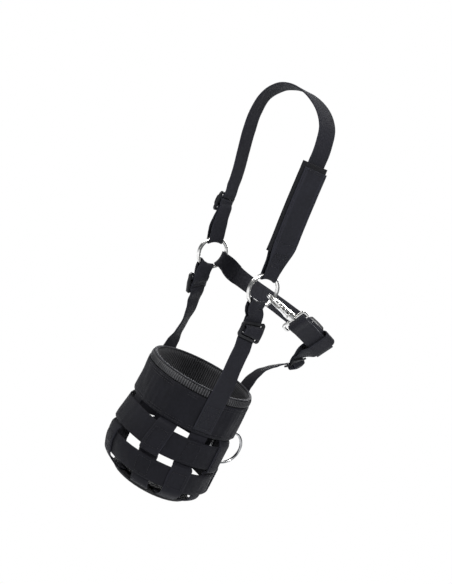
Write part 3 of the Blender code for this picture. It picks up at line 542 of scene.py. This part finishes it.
def uv_parts(shader):
    """Millimetres along and across the webbing, from the piece's own UV map."""
    uv = shader.node("ShaderNodeUVMap", uv_map="weave")
    split = shader.node("ShaderNodeSeparateXYZ")
    shader.link(uv.outputs["UV"], split.inputs[0])
    along = shader.math("MULTIPLY", split.outputs["X"], 1000.0)
    across = shader.math("MULTIPLY", split.outputs["Y"], 1000.0)
    return along, across


def webbing_material(name, dark, light, edge_at, pitch=1.5, row=1.25, depth=0.00022, gloss=0.12):
    """Heavy woven webbing: staggered yarns, slubs, worn and lighter selvedges."""
    shader = Shader(name, dark, 0.78)
    along, across = uv_parts(shader)
    rows = shader.math("DIVIDE", across, row)
    parity = shader.math("PINGPONG", shader.math("FLOOR", rows), 1.0)
    phase = shader.math("MULTIPLY", parity, math.pi)
    turns = shader.math("MULTIPLY", along, 2.0 * math.pi / pitch)
    wave = shader.math("SINE", shader.math("ADD", turns, phase))
    crown = shader.math("ABSOLUTE", shader.math("SINE", shader.math("MULTIPLY", rows, math.pi)))
    yarn = shader.math("MULTIPLY", shader.math("ADD", shader.math("MULTIPLY", wave, 0.5), 0.5), crown)
    slub = shader.noise(260.0, 2.0)
    cloud = shader.noise(38.0, 4.0)
    edge = shader.math("GREATER_THAN", shader.math("ABSOLUTE", across), edge_at)
    soft = shader.math("MULTIPLY", edge, 0.22)
    tone = shader.math("ADD", shader.math("MULTIPLY", yarn, 0.42), shader.math("MULTIPLY", slub, 0.25))
    tone = shader.math("ADD", tone, shader.math("MULTIPLY", cloud, 0.35))
    tone = shader.math("ADD", tone, soft, clamp=True)
    shader.colour(shader.ramp(tone, [(0.15, dark), (0.95, light)]))
    rough = shader.math("ADD", shader.math("MULTIPLY", cloud, 0.25), 0.58)
    shader.roughness(rough)
    height = shader.math("ADD", yarn, shader.math("MULTIPLY", slub, 0.35))
    shader.bump(height, depth)
    shader.principled.inputs["Sheen Weight"].default_value = 0.02
    shader.principled.inputs["Sheen Roughness"].default_value = 0.45
    shader.principled.inputs["Specular IOR Level"].default_value = gloss
    return shader.material


def lining_material():
    """Ribbed padded lining with a fine knit, its colour lighter on the rib crests as a painted highlight and darker in
    the troughs as painted shade.
    """
    shader = Shader("look_ribbed_lining", (0.02, 0.02, 0.024), 0.55)
    along, across = uv_parts(shader)
    rib_relief_and_painted_light = shader.math("SINE", shader.math("MULTIPLY", along, 2.0 * math.pi / RIB_PITCH))
    rib_relief_and_painted_light = shader.math("ADD", shader.math("MULTIPLY", rib_relief_and_painted_light, 0.5), 0.5)
    knit = shader.math("ABSOLUTE", shader.math("SINE", shader.math("MULTIPLY", across, math.pi / 0.9)))
    cloud = shader.noise(60.0, 4.0)
    # The colour follows the rib wave: a painted highlight on each rib crest and painted shade in the troughs between
    # them.
    tone = shader.math("ADD", shader.math("MULTIPLY", rib_relief_and_painted_light, 0.62), shader.math("MULTIPLY", knit, 0.12))
    tone = shader.math("ADD", tone, shader.math("MULTIPLY", cloud, 0.28), clamp=True)
    shader.colour(shader.ramp(tone, [(0.3, (0.0016, 0.0016, 0.002)), (0.95, (0.04, 0.04, 0.043))]))
    shader.bump(shader.math("ADD", shader.math("MULTIPLY", rib_relief_and_painted_light, 1.0), shader.math("MULTIPLY", knit, 0.2)), 0.0004)
    shader.principled.inputs["Sheen Weight"].default_value = 0.03
    shader.principled.inputs["Specular IOR Level"].default_value = 0.2
    return shader.material


def thread_material():
    shader = Shader("look_thread", (0.01, 0.01, 0.012), 0.5)
    shader.principled.inputs["Specular IOR Level"].default_value = 0.2
    twist = shader.node("ShaderNodeTexWave", Scale=900.0, Distortion=1.0)
    shader.link(shader.coordinates(), twist.inputs["Vector"])
    shader.colour(shader.ramp(twist.outputs["Fac"], [(0.0, (0.002, 0.002, 0.0027)), (1.0, (0.009, 0.009, 0.0115))]))
    return shader.material


def rubber_material():
    shader = Shader("look_rubber", (0.006, 0.006, 0.007), 0.62)
    shader.principled.inputs["Specular IOR Level"].default_value = 0.2
    grain = shader.noise(900.0, 3.0)
    dust = shader.noise(24.0, 5.0, 0.65)
    shader.colour(shader.ramp(dust, [(0.35, (0.003, 0.003, 0.0035)), (0.8, (0.012, 0.012, 0.013))]))
    shader.roughness(shader.math("ADD", shader.math("MULTIPLY", dust, 0.3), 0.42))
    shader.bump(grain, 0.00015)
    return shader.material


def plastic_material():
    """Moulded nylon of the slides: satin, with a faint mould grain and scuffs."""
    shader = Shader("look_moulded_nylon", (0.004, 0.004, 0.005), 0.38)
    shader.principled.inputs["Specular IOR Level"].default_value = 0.3
    grain = shader.noise(1400.0, 2.0)
    scuff = shader.noise(120.0, 6.0, 0.7)
    shader.colour(shader.ramp(scuff, [(0.3, (0.0025, 0.0025, 0.003)), (0.85, (0.009, 0.009, 0.0105))]))
    shader.roughness(shader.math("ADD", shader.math("MULTIPLY", scuff, 0.3), 0.24))
    shader.bump(grain, 0.00005)
    return shader.material


def nickel_material(name, worn, bright):
    """Nickel plate with fine scratches and duller patches."""
    shader = Shader(name, bright, 0.2, 1.0)
    scratch = shader.noise(700.0, 5.0, 0.7)
    dull = shader.noise(90.0, 4.0, 0.6)
    shader.colour(shader.ramp(dull, [(0.3, worn), (0.75, bright)]))
    shader.roughness(shader.math("ADD", shader.math("MULTIPLY", dull, 0.28), 0.1))
    shader.bump(scratch, 0.00003)
    return shader.material


def hook_tape_material():
    """Napped loop tape: many tiny curls over a dull ground."""
    shader = Shader("look_hook_tape", (0.016, 0.016, 0.019), 0.9)
    curls = shader.node("ShaderNodeTexVoronoi", Scale=1500.0)
    shader.link(shader.coordinates(), curls.inputs["Vector"])
    shader.colour(shader.ramp(curls.outputs["Distance"], [(0.0, (0.013, 0.013, 0.016)), (0.6, (0.003, 0.003, 0.0036))]))
    shader.bump(curls.outputs["Distance"], 0.0004)
    shader.principled.inputs["Sheen Weight"].default_value = 0.04
    shader.principled.inputs["Specular IOR Level"].default_value = 0.1
    return shader.material


# ---------------------------------------------------------------- fine meshes

def make_object(name, points, faces, uvs, look, body, replaces=()):
    mesh = bpy.data.meshes.new(name)
    mesh.from_pydata([(Vector(p) + PART_ORIGIN) * MM for p in points], [], faces)
    layer = mesh.uv_layers.new(name="weave")
    for loop, uv in zip(layer.data, uvs):
        loop.uv = uv
    for polygon in mesh.polygons:
        polygon.use_smooth = True
    mesh.materials.append(look)
    made = bpy.data.objects.new(name, mesh)
    bpy.context.scene.collection.objects.link(made)
    shape = bmesh.new()
    shape.from_mesh(mesh)
    bmesh.ops.recalc_face_normals(shape, faces=shape.faces)
    shape.to_mesh(mesh)
    shape.free()
    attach(made, body)
    if replaces:
        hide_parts(*replaces)
    return made


def spline_path(path, longest=2.2, per_span=3):
    """A rounder and denser version of a flat path."""
    route = Route([((s, h, 0.0), (0.0, 0.0, 1.0)) for s, h in path], per_span)
    made = [(route.points[0].x, route.points[0].y)]
    for point in route.points[1:]:
        s, h = made[-1]
        count = max(1, math.ceil(math.hypot(point.x - s, point.y - h) / longest))
        for k in range(1, count + 1):
            made.append((s + (point.x - s) * k / count, h + (point.y - h) * k / count))
    return made


def path_normals(path):
    """Normal at every point of a flat path."""
    made = []
    for i, (s, h) in enumerate(path):
        before = path[max(0, i - 1)]
        after = path[min(len(path) - 1, i + 1)]
        travel = Vector((after[0] - before[0], after[1] - before[1])).normalized()
        made.append(Vector((-travel.y, travel.x)))
    return made


def strap_profile(half, thick, inner=9):
    """Outline of woven webbing: flat faces and round selvedges."""
    t = thick / 2
    top = []
    for j in range(inner):
        share = 2 * j / (inner - 1) - 1
        top.append((share * (half - 1.2), t))
    right = [(half - 0.35, 0.72 * t), (half, 0.0), (half - 0.35, -0.72 * t)]
    bottom = [(-a, -o) for a, o in top]
    left = [(-a, -o) for a, o in right]
    return top + right + bottom + left


def strap(name, place, path, look, body, replaces=(), thick=WEB_THICK,
          half_width=None, wander=0.0, seed=0.0, inner=9, smooth_path=True):
    """Fine webbing along a flat path, mapped into space by place."""
    line = spline_path(path) if smooth_path else path
    normals = path_normals(line)
    base = strap_profile(1.0, 1.0, inner)
    points = []
    grid = []
    length = 0.0
    for i, (s, h) in enumerate(line):
        if i:
            length += math.hypot(s - line[i - 1][0], h - line[i - 1][1])
        half = half_width(s) if half_width else WEB_WIDTH / 2
        profile = strap_profile(half, thick, inner)
        row = []
        for across, out in profile:
            stray = wander * noise.noise(Vector((length * 0.05 + seed, across * 0.09, seed)))
            fringe = 0.12 * noise.noise(Vector((length * 0.5, across, seed + 4.0)))
            side = across + (math.copysign(fringe, across) if abs(across) > half - 0.5 else 0.0)
            n = normals[i]
            points.append(place(s + n.x * out, h + n.y * out + stray, side))
            row.append((length / 1000.0, across / 1000.0))
        grid.append(row)
    count = len(base)
    faces = []
    uvs = []
    for i in range(len(line) - 1):
        for j in range(count):
            k = (j + 1) % count
            faces.append((i * count + j, i * count + k, (i + 1) * count + k, (i + 1) * count + j))
            uvs += [grid[i][j], grid[i][k], grid[i + 1][k], grid[i + 1][j]]
    for i in (0, len(line) - 1):
        faces.append(tuple(i * count + j for j in range(count)))
        uvs += [grid[i][j] for j in range(count)]
    return make_object(name, points, faces, uvs, look, body, replaces)


def fine_hoop(name, outline, look, body, replaces, count=240, lift=None, ripple=None):
    """A closed band round the basket from a closed outline of (up, out)."""
    points = []
    rows = len(outline)
    sweep = [0.0]
    for (u0, o0), (u1, o1) in zip(outline, outline[1:] + outline[:1]):
        sweep.append(sweep[-1] + math.hypot(u1 - u0, o1 - o0))
    middle = sweep[-1] / 2
    length = [0.0]
    for k in range(count + 1):
        angle = 2 * math.pi * k / count
        speed = math.hypot(BASKET_HALF_X * math.cos(angle), BASKET_HALF_Y * math.sin(angle))
        length.append(length[-1] + speed * 2 * math.pi / count)
        if k == count:
            break
        place = wall_place(angle, -ellipse_normal(angle))
        raised = lift(angle) if lift else 0.0
        for up, out in outline:
            more = ripple(angle, up, out) if ripple else 0.0
            points.append(place(up + raised, out + more, 0.0))
    faces = []
    uvs = []
    for k in range(count):
        a = k * rows
        b = (k + 1) % count * rows
        for j in range(rows):
            following = (j + 1) % rows
            faces.append((a + j, a + following, b + following, b + j))
            u0, u1 = length[k] / 1000.0, length[k + 1] / 1000.0
            v0, v1 = (sweep[j] - middle) / 1000.0, (sweep[j + 1] - middle) / 1000.0
            uvs += [(u0, v0), (u0, v1), (u1, v1), (u1, v0)]
    return make_object(name, points, faces, uvs, look, body, replaces)


def band_outline(low, high, half, steps=8):
    """A webbing band's section: two faces and two round selvedges."""
    face = [low + 0.9 + (high - low - 1.8) * k / steps for k in range(steps + 1)]
    outer = [(up, half) for up in face]
    top = [(high - 0.3, 0.7 * half), (high, 0.0), (high - 0.3, -0.7 * half)]
    inner = [(up, -half) for up in reversed(face)]
    bottom = [(low + 0.3, -0.7 * half), (low, 0.0), (low + 0.3, 0.7 * half)]
    return outer + top + inner + bottom


# ---------------------------------------------------------------- stitching

def stitches(name, lines, look, body, pitch=3.6, long=2.7, radius=0.42):
    """Raised thread stitches along lines of (position function, length)."""
    points = []
    faces = []
    uvs = []
    sides = 6
    for where, total in lines:
        count = max(1, int(total / pitch))
        for k in range(count):
            middle = (k + 0.5) * total / count
            ends = [where(middle + long * share) for share in (-0.5, -0.36, 0.0, 0.36, 0.5)]
            sizes = (0.35, 0.85, 1.0, 0.85, 0.35)
            start = len(points)
            for i, ((point, normal), size) in enumerate(zip(ends, sizes)):
                before = ends[max(0, i - 1)][0]
                after = ends[min(4, i + 1)][0]
                travel = (after - before).normalized()
                side = travel.cross(normal).normalized()
                for j in range(sides):
                    turn = 2 * math.pi * j / sides
                    offset = math.cos(turn) * side + math.sin(turn) * normal
                    points.append(point + radius * size * offset)
            for i in range(4):
                for j in range(sides):
                    a = start + i * sides + j
                    b = start + i * sides + (j + 1) % sides
                    faces.append((a, b, b + sides, a + sides))
                    uvs += [(0, 0)] * 4
            faces.append(tuple(start + j for j in range(sides)))
            faces.append(tuple(start + 4 * sides + j for j in range(sides)))
            uvs += [(0, 0)] * (2 * sides)
    return make_object(name, points, faces, uvs, look, body)


def on_strap(place, out, start, end):
    """Position function for a straight run between two (along, across) corners."""
    total = math.hypot(end[0] - start[0], end[1] - start[1])

    def where(length):
        share = length / total
        s = start[0] + (end[0] - start[0]) * share
        a = start[1] + (end[1] - start[1]) * share
        point = place(s, out, a)
        beyond = place(s, out + math.copysign(1.0, out), a)
        return point, (beyond - point).normalized()
    return where, total


def box_stitch(place, out, low, high, half, cross=True):
    """The lines of a sewn box, with its diagonals."""
    corners = [(low, -half), (low, half), (high, half), (high, -half)]
    lines = [on_strap(place, out, a, b) for a, b in zip(corners, corners[1:] + corners[:1])]
    if cross:
        lines.append(on_strap(place, out, corners[0], corners[2]))
        lines.append(on_strap(place, out, corners[1], corners[3]))
    return lines


def round_basket(up, out, lift=None):
    """Position function for a run of stitches all round the basket."""
    total = 2 * math.pi * math.sqrt((BASKET_HALF_X ** 2 + BASKET_HALF_Y ** 2) / 2)

    def where(length):
        angle = 2 * math.pi * length / total
        place = wall_place(angle, -ellipse_normal(angle))
        raised = lift(angle) if lift else 0.0
        point = place(up + raised, out, 0.0)
        beyond = place(up + raised, out + math.copysign(1.0, out), 0.0)
        return point, (beyond - point).normalized()
    return where, total


# ---------------------------------------------------------------- basket looks

def noseband_ripple(angle, up, out):
    """Soft puckers on the outside of the wide noseband."""
    if out < 0.5:
        return 0.0
    wave = noise.noise(Vector((math.sin(angle) * 5.0, math.cos(angle) * 5.0, up * 0.045)))
    tight = noise.noise(Vector((math.sin(angle) * 17.0, math.cos(angle) * 17.0, up * 0.03 + 7.0)))
    return 0.35 + 1.1 * wave + 0.55 * tight


def band_ripple(angle, up, out):
    """Gentle unevenness on the outside of a narrow band."""
    if out < 0.5:
        return 0.0
    return 0.12 + 0.35 * noise.noise(Vector((math.sin(angle) * 9.0, math.cos(angle) * 9.0, up * 0.05)))


def rib_ripple(angle, up, out):
    """Sewn ribs across the padded lining."""
    return -0.35 * math.cos(RIB_COUNT * angle) if out > -6.0 else 0.0


def basket_looks(upright_web, band_web, lining, binding, thread):
    for k, (short, degrees) in enumerate(UPRIGHTS):
        angle = ellipse_angle(degrees)
        quarter = math.pi * CORNER_RADIUS / 2
        reach = ellipse_point(angle).length - CORNER_RADIUS - UPRIGHT_END_RADIUS
        path = upright_path(k % 2 == 1, angle)
        corner = densify([path[-1], (-quarter, 0.0)], 4.5)
        path = path[:-1] + corner + [(-quarter - reach, 0.0)]
        strap("webbing_upright_" + short, wall_place(angle), densify(path, 6.0), upright_web, ROOT,
              ["upright_" + short], seed=float(k), inner=7)
    bands = [
        ("bottom_band", BOTTOM_BAND_Z, lift_at, band_ripple),
        ("middle_band", MIDDLE_BAND_Z, middle_lift_at, band_ripple),
        ("noseband", TOP_BAND_Z, None, noseband_ripple),
    ]
    for name, heights, lift, ripple in bands:
        low, high = (up_of(z) for z in heights)
        fine_hoop("webbing_" + name, band_outline(low, high, BAND_THICK / 2), band_web, ROOT,
                  [name], lift=lift, ripple=ripple)
    section = [
        (101.0, -4.0), (101.0, -5.9), (112.0, -6.3), (124.0, -6.3), (136.0, -6.4), (147.0, -6.4),
        (150.0, -6.6), (153.0, -6.6), (155.2, -6.0), (156.8, -5.0), (157.7, -3.9), (157.9, -2.8),
        (157.6, -1.6), (156.8, -0.4), (155.4, 0.4), (153.2, 0.8), (151.0, 0.8), (149.4, 0.5),
        (148.5, -0.6), (148.4, -2.2), (148.4, -3.9), (136.0, -3.9), (118.0, -3.9),
    ]
    padding = fine_hoop("ribbed_padding", [(up_of(z), out) for z, out in section], lining, ROOT,
                        ["ribbed_lining"], count=RIB_STEPS, ripple=rib_ripple)
    rim = [
        (158.2, -5.2), (158.9, -4.6), (159.3, -3.6), (159.3, -2.0), (158.9, -1.0), (158.2, -0.5),
        (157.9, -1.2), (158.3, -2.8), (157.9, -4.4),
    ]
    fine_hoop("rim_tape", [(up_of(z), out) for z, out in rim], binding, ROOT,
              ["rim_binding"])
    basket_stitching(thread)


def basket_stitching(thread):
    low, high = (up_of(z) for z in TOP_BAND_Z)
    out = BAND_THICK / 2 + 0.25
    rows = [round_basket(up, out) for up in (low + 3.0, low + 6.0, high - 3.0, high - 6.0)]
    stitches("noseband_stitching", rows, thread, ROOT)
    lines = []
    for k, (_, degrees) in enumerate(UPRIGHTS):
        angle = ellipse_angle(degrees)
        place = wall_place(angle)
        over = k % 2 == 1
        crossings = [(MIDDLE_BAND_Z, middle_lift_at(angle), over), (BOTTOM_BAND_Z, lift_at(angle), not over)]
        for heights, lift, outside in crossings:
            bottom, top = (up_of(z) + lift for z in heights)
            surface = WEAVE_OUT + 1.25 if outside else BAND_THICK / 2 + 0.25
            lines += box_stitch(place, surface, bottom + 4.0, top - 4.0, 8.5, cross=False)
    stitches("crossing_stitching", lines, thread, ROOT, pitch=3.4, long=2.4, radius=0.34)


# ---------------------------------------------------------------- headstall looks

def cheek_looks(name, side, slide_from_wire, web, thread):
    route, _ = cheek_route(side)
    wire = route.marks[-1] - 6.0
    at = wire - slide_from_wire
    place = fold_place(route, [(wire, 1)])
    path = ring_strap_path(at, wire, [(0.0, 0.0)])
    strap("webbing_" + name, place, densify(path, 8.0), web, ROOT, [name], wander=0.2, seed=float(side))
    lines = box_stitch(route.place, 1.25, 4.0, 34.0, 9.0)
    stitches(name + "_stitching", lines, thread, ROOT)


def ring_strap_path(at, wire, lead):
    """A strap's way through its slide, round its ring and back to the slide."""
    path = list(lead)
    path += [(at - 24.0, 0.0)] + slide_entry(at)
    path += [(wire - 5.0, 3.5)] + turn_round(wire, FOLD_REACH, FOLD_SIDE) + [(wire - 6.0, -4.1)]
    path += slide_end(at)
    return path


def crown_looks(web, tape, thread):
    route = crown_route()
    near_wire = 6.0
    far_wire = route.marks[-1] - 6.0
    at = route.marks[21] + 3.0
    lead = [(PAD_START + 2.0, -0.9), (PAD_END + 2.0, -0.9), (PAD_END + 14.0, 0.0), (at - 40.0, 0.0)]
    place = fold_place(route, [(far_wire, 1)])
    strap("webbing_crown_strap", place, densify(ring_strap_path(at, far_wire, lead), 8.0), web, CROWN,
          ["crown_strap"], seed=3.0)

    def pad_place(along, out, across):
        return route.place(along, out, across - PAD_SHIFT)
    strap("loop_tape_pad", pad_place, densify([(PAD_START, 1.3), (PAD_END, 1.3)], 10.0), tape, CROWN,
          ["hook_pad"], thick=PAD_THICK, half_width=lambda s: PAD_WIDTH / 2)
    tab_looks(route, near_wire, web, thread)


def tab_looks(route, wire, web, thread):
    side = FOLD_SIDE
    turn = [(2 * wire - s, h) for s, h in turn_round(wire, FOLD_REACH, side)]
    path = [(wire + 34.0, -3.3), (wire + 24.0, -3.4), (wire + 8.0, -side)] + list(reversed(turn))
    path += [(wire + 8.0, side), (wire + 20.0, 3.6), (TAB_LENGTH, 3.6)]

    def half_width(along):
        share = smoothstep((along - wire - 14.0) / 26.0)
        return (WEB_WIDTH + (TAB_WIDTH - WEB_WIDTH) * share) / 2
    place = fold_place(route, [(wire, -1)])
    strap("webbing_breakaway_tab", place, densify(path, 8.0), web, CROWN, ["breakaway_tab"],
          half_width=half_width, seed=9.0, wander=0.3)
    half = TAB_WIDTH / 2 - 2.5
    lines = box_stitch(place, 4.85, wire + 42.0, TAB_LENGTH - 3.0, half, cross=False)
    lines += box_stitch(place, 4.85, wire + 12.0, wire + 28.0, 8.5)
    stitches("tab_stitching", lines, thread, CROWN)


def throat_looks(web, thread):
    route = throat_route()
    start = 6.0
    bar = route.marks[-1] - 4.0
    at = route.marks[8] - 5.0
    side = FOLD_SIDE + 0.3
    turn = [(2 * start - s, h) for s, h in turn_round(start, FOLD_REACH, side)]
    path = [(start + 26.0, -2.4), (start + 19.0, -2.6), (start + 9.5, -side)] + list(reversed(turn))
    path += [(start + 9.5, side), (start + 19.0, 1.2), (start + 29.0, 0.0), (at - 24.0, 0.0)]
    path += slide_entry(at)
    path += [(at + 22.0, 1.2), (bar - 14.0, 1.2), (bar - 5.0, 3.0)]
    path += turn_round(bar, EYE_WIRE + GAP + WEB_THICK / 2, EYE_WIRE + GAP + WEB_THICK / 2)
    path += [(bar - 5.0, -3.0), (bar - 14.0, -1.2), (at + 22.0, -1.3)]
    path += slide_end(at)
    place = fold_place(route, [(start, -1)])
    strap("webbing_throat_strap", place, densify(path, 6.0), web, ROOT, ["throat_strap"], seed=5.0)
    lines = box_stitch(place, 1.3, start + 20.0, start + 27.0, 9.5, cross=False)
    stitches("throat_stitching", lines, thread, ROOT)


def chin_looks(web, thread):
    route, middle = chin_route()
    at = route.marks[8] - 1.0
    half = WEB_WIDTH / 2 + 0.4
    leg = 5.0
    path = [(0.0, 0.0), (at - 24.0, 0.0)] + slide_entry(at)
    path += [(middle - half - 2.0, leg - 0.6), (middle - half, leg)]
    path += turn_round(middle + half, leg, leg)
    path += [(middle - half, -leg), (middle - half - 2.0, -leg - 0.4)]
    path += slide_end(at)
    strap("webbing_chin_strap", route.place, densify(path, 6.0), web, ROOT, ["chin_strap"], seed=7.0)
    lines = box_stitch(route.place, 1.25, 4.0, 34.0, 9.0)
    stitches("chin_stitching", lines, thread, ROOT)


# ---------------------------------------------------------------- metal and plastic

def fine_ring(name, centre, radius, wire, look, body, replaced, around=96, section=20):
    """A round wire ring in the yz plane, with its weld seam."""
    points = []
    faces = []
    uvs = []
    for k in range(around):
        angle = 2 * math.pi * k / around
        outward = Vector((0.0, math.cos(angle), math.sin(angle)))
        weld = 0.14 * math.exp(-((k - around * 0.62) / 1.2) ** 2)
        for j in range(section):
            turn = 2 * math.pi * j / section
            size = wire + weld
            offset = (radius + size * math.cos(turn)) * outward
            points.append(Vector(centre) + offset + Vector((size * math.sin(turn), 0.0, 0.0)))
    for k in range(around):
        for j in range(section):
            a = k * section + j
            b = k * section + (j + 1) % section
            c = (k + 1) % around * section + (j + 1) % section
            d = (k + 1) % around * section + j
            faces.append((a, b, c, d))
            uvs += [(0, 0)] * 4
    return make_object(name, points, faces, uvs, look, body, [replaced])


def metal_looks(nickel, dull_nickel):
    fine_ring("round_near_ring", (RING_X, RING_Y, RING_Z), RING_RADIUS, RING_WIRE - 0.05, nickel,
              "near_ring", "near_ring")
    fine_ring("round_far_ring", (-RING_X, RING_Y, RING_Z), RING_RADIUS, RING_WIRE - 0.05, nickel,
              "far_ring", "far_ring")
    wall = ellipse_point(math.pi - math.asin(CHIN_RING_X / BASKET_HALF_X))
    lean = math.radians(CHIN_RING_LEAN)
    drop = Vector((0.0, math.sin(lean), -math.cos(lean)))
    centre = Vector((wall.x, wall.y, CHIN_RING_PIVOT_Z)) + (CHIN_RING_RADIUS - CHIN_RING_WIRE) * drop
    fine_ring("round_chin_ring", centre, CHIN_RING_RADIUS, CHIN_RING_WIRE - 0.05, dull_nickel,
              "chin_ring", "chin_ring")
    for name in ("snap_body", "snap_bolt", "snap_eye"):
        cast_metal(name, nickel)


def repaint(name, look):
    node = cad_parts[name]
    node.data.materials.clear()
    node.data.materials.append(look)
    return node


def cast_metal(name, look):
    """A CAD node keeps its shape, with the flowing edges of a die casting."""
    node = repaint(name, look)
    fine = node.modifiers.new("fine_surface", "REMESH")
    fine.mode = "VOXEL"
    fine.voxel_size = 0.3 * MM
    fine.use_smooth_shade = True
    flow = node.modifiers.new("flowing_edges", "SMOOTH")
    flow.factor = 0.5
    flow.iterations = 8


def carry_over(name, look, bevel):
    """A CAD node keeps its shape and gets softened edges and a finer material."""
    node = repaint(name, look)
    soften = node.modifiers.new("soft_edges", "BEVEL")
    soften.width = bevel * MM
    soften.segments = 2
    soften.limit_method = "ANGLE"
    soften.angle_limit = math.radians(38)


def slide_looks(plastic):
    for name in ("near_cheek_adjuster", "far_cheek_adjuster", "crown_adjuster", "throat_adjuster",
                 "chin_adjuster"):
        carry_over(name, plastic, 0.45)


# ---------------------------------------------------------------- studio

def lit_by(tree, shading):
    """White to the camera, and only this much light on the object."""
    seen = tree.nodes.new("ShaderNodeLightPath")
    mix = tree.nodes.new("ShaderNodeMixShader")
    plain = tree.nodes.new("ShaderNodeEmission")
    plain.inputs["Color"].default_value = (1.0, 1.0, 1.0, 1.0)
    tree.links.new(seen.outputs["Is Camera Ray"], mix.inputs[0])
    tree.links.new(shading, mix.inputs[1])
    tree.links.new(plain.outputs[0], mix.inputs[2])
    return mix.outputs[0]


def studio():
    scene = bpy.context.scene
    scene.view_settings.view_transform = "Standard"
    scene.view_settings.look = "None"
    world = bpy.data.worlds.new("studio")
    scene.world = world
    world.use_nodes = True
    tree = world.node_tree
    backdrop = tree.nodes["Background"]
    backdrop.inputs["Color"].default_value = (0.9, 0.95, 1.0, 1.0)
    backdrop.inputs["Strength"].default_value = WORLD_LIGHT
    white = lit_by(tree, backdrop.outputs[0])
    tree.links.new(white, tree.nodes["World Output"].inputs["Surface"])
    mesh = bpy.data.meshes.new("floor")
    size = 6.0
    corners = [(-size, -size), (size, -size), (size, size), (-size, size)]
    mesh.from_pydata([(x, y, FLOOR_HEIGHT) for x, y in corners], [], [(0, 1, 2, 3)])
    floor = bpy.data.objects.new("floor", mesh)
    scene.collection.objects.link(floor)
    pale = Shader("look_floor", (0.85, 0.86, 0.88), 0.9)
    white = lit_by(pale.tree, pale.principled.outputs[0])
    pale.tree.links.new(white, pale.tree.nodes["Material Output"].inputs["Surface"])
    mesh.materials.append(pale.material)
    for name, place, power, width in LIGHTS:
        light(name, place, power, width)


def light(name, place, power, size):
    data = bpy.data.lights.new(name, "AREA")
    data.shape = "DISK"
    data.size = size
    data.energy = power
    made = bpy.data.objects.new(name, data)
    made.location = place
    aim = Vector((0.0, -0.03, 0.25)) - Vector(place)
    made.rotation_euler = aim.to_track_quat("-Z", "Y").to_euler()
    bpy.context.scene.collection.objects.link(made)


def camera():
    data = bpy.data.cameras.new("camera")
    data.lens = CAMERA_LENS
    data.shift_x, data.shift_y = CAMERA_SHIFT
    data.clip_start = 0.05
    data.clip_end = 30.0
    made = bpy.data.objects.new("camera", data)
    matrix = Matrix((CAMERA_RIGHT, CAMERA_UP, CAMERA_BACK)).transposed().to_4x4()
    matrix.translation = (CAMERA_AT + PART_ORIGIN) * MM
    made.matrix_world = matrix
    bpy.context.scene.collection.objects.link(made)
    bpy.context.scene.camera = made


def main():
    random.seed(7)
    dark = (0.0022, 0.0022, 0.003)
    light_tone = (0.0115, 0.0118, 0.0172)
    web = webbing_material("look_webbing", dark, light_tone, WEB_WIDTH / 2 - 1.1)
    band_web = webbing_material("look_band_webbing", (0.0008, 0.0008, 0.0012), (0.0105, 0.0105, 0.0148), 60.0,
                                gloss=0.08)
    upright_web = webbing_material("look_upright_webbing", (0.0014, 0.0014, 0.002), (0.011, 0.011, 0.0158),
                                   WEB_WIDTH / 2 - 1.1, gloss=0.088)
    lining = lining_material()
    binding = webbing_material("look_rim_tape", (0.008, 0.008, 0.01), (0.035, 0.035, 0.04), 60.0,
                               pitch=1.1, row=0.8)
    thread = thread_material()
    nickel = nickel_material("look_nickel", (0.34, 0.335, 0.32), (0.66, 0.65, 0.63))
    dull_nickel = nickel_material("look_dull_nickel", (0.17, 0.17, 0.17), (0.4, 0.4, 0.4))
    tape = hook_tape_material()
    basket_looks(upright_web, band_web, lining, binding, thread)
    carry_over("base_disc", rubber_material(), 0.5)
    carry_over("inner_disc", rubber_material(), 0.2)
    cheek_looks("near_cheek_strap", 1, 34.0, web, thread)
    cheek_looks("far_cheek_strap", -1, 25.0, web, thread)
    crown_looks(web, tape, thread)
    throat_looks(web, thread)
    chin_looks(web, thread)
    metal_looks(nickel, dull_nickel)
    slide_looks(plastic_material())
    studio()
    camera()


main()
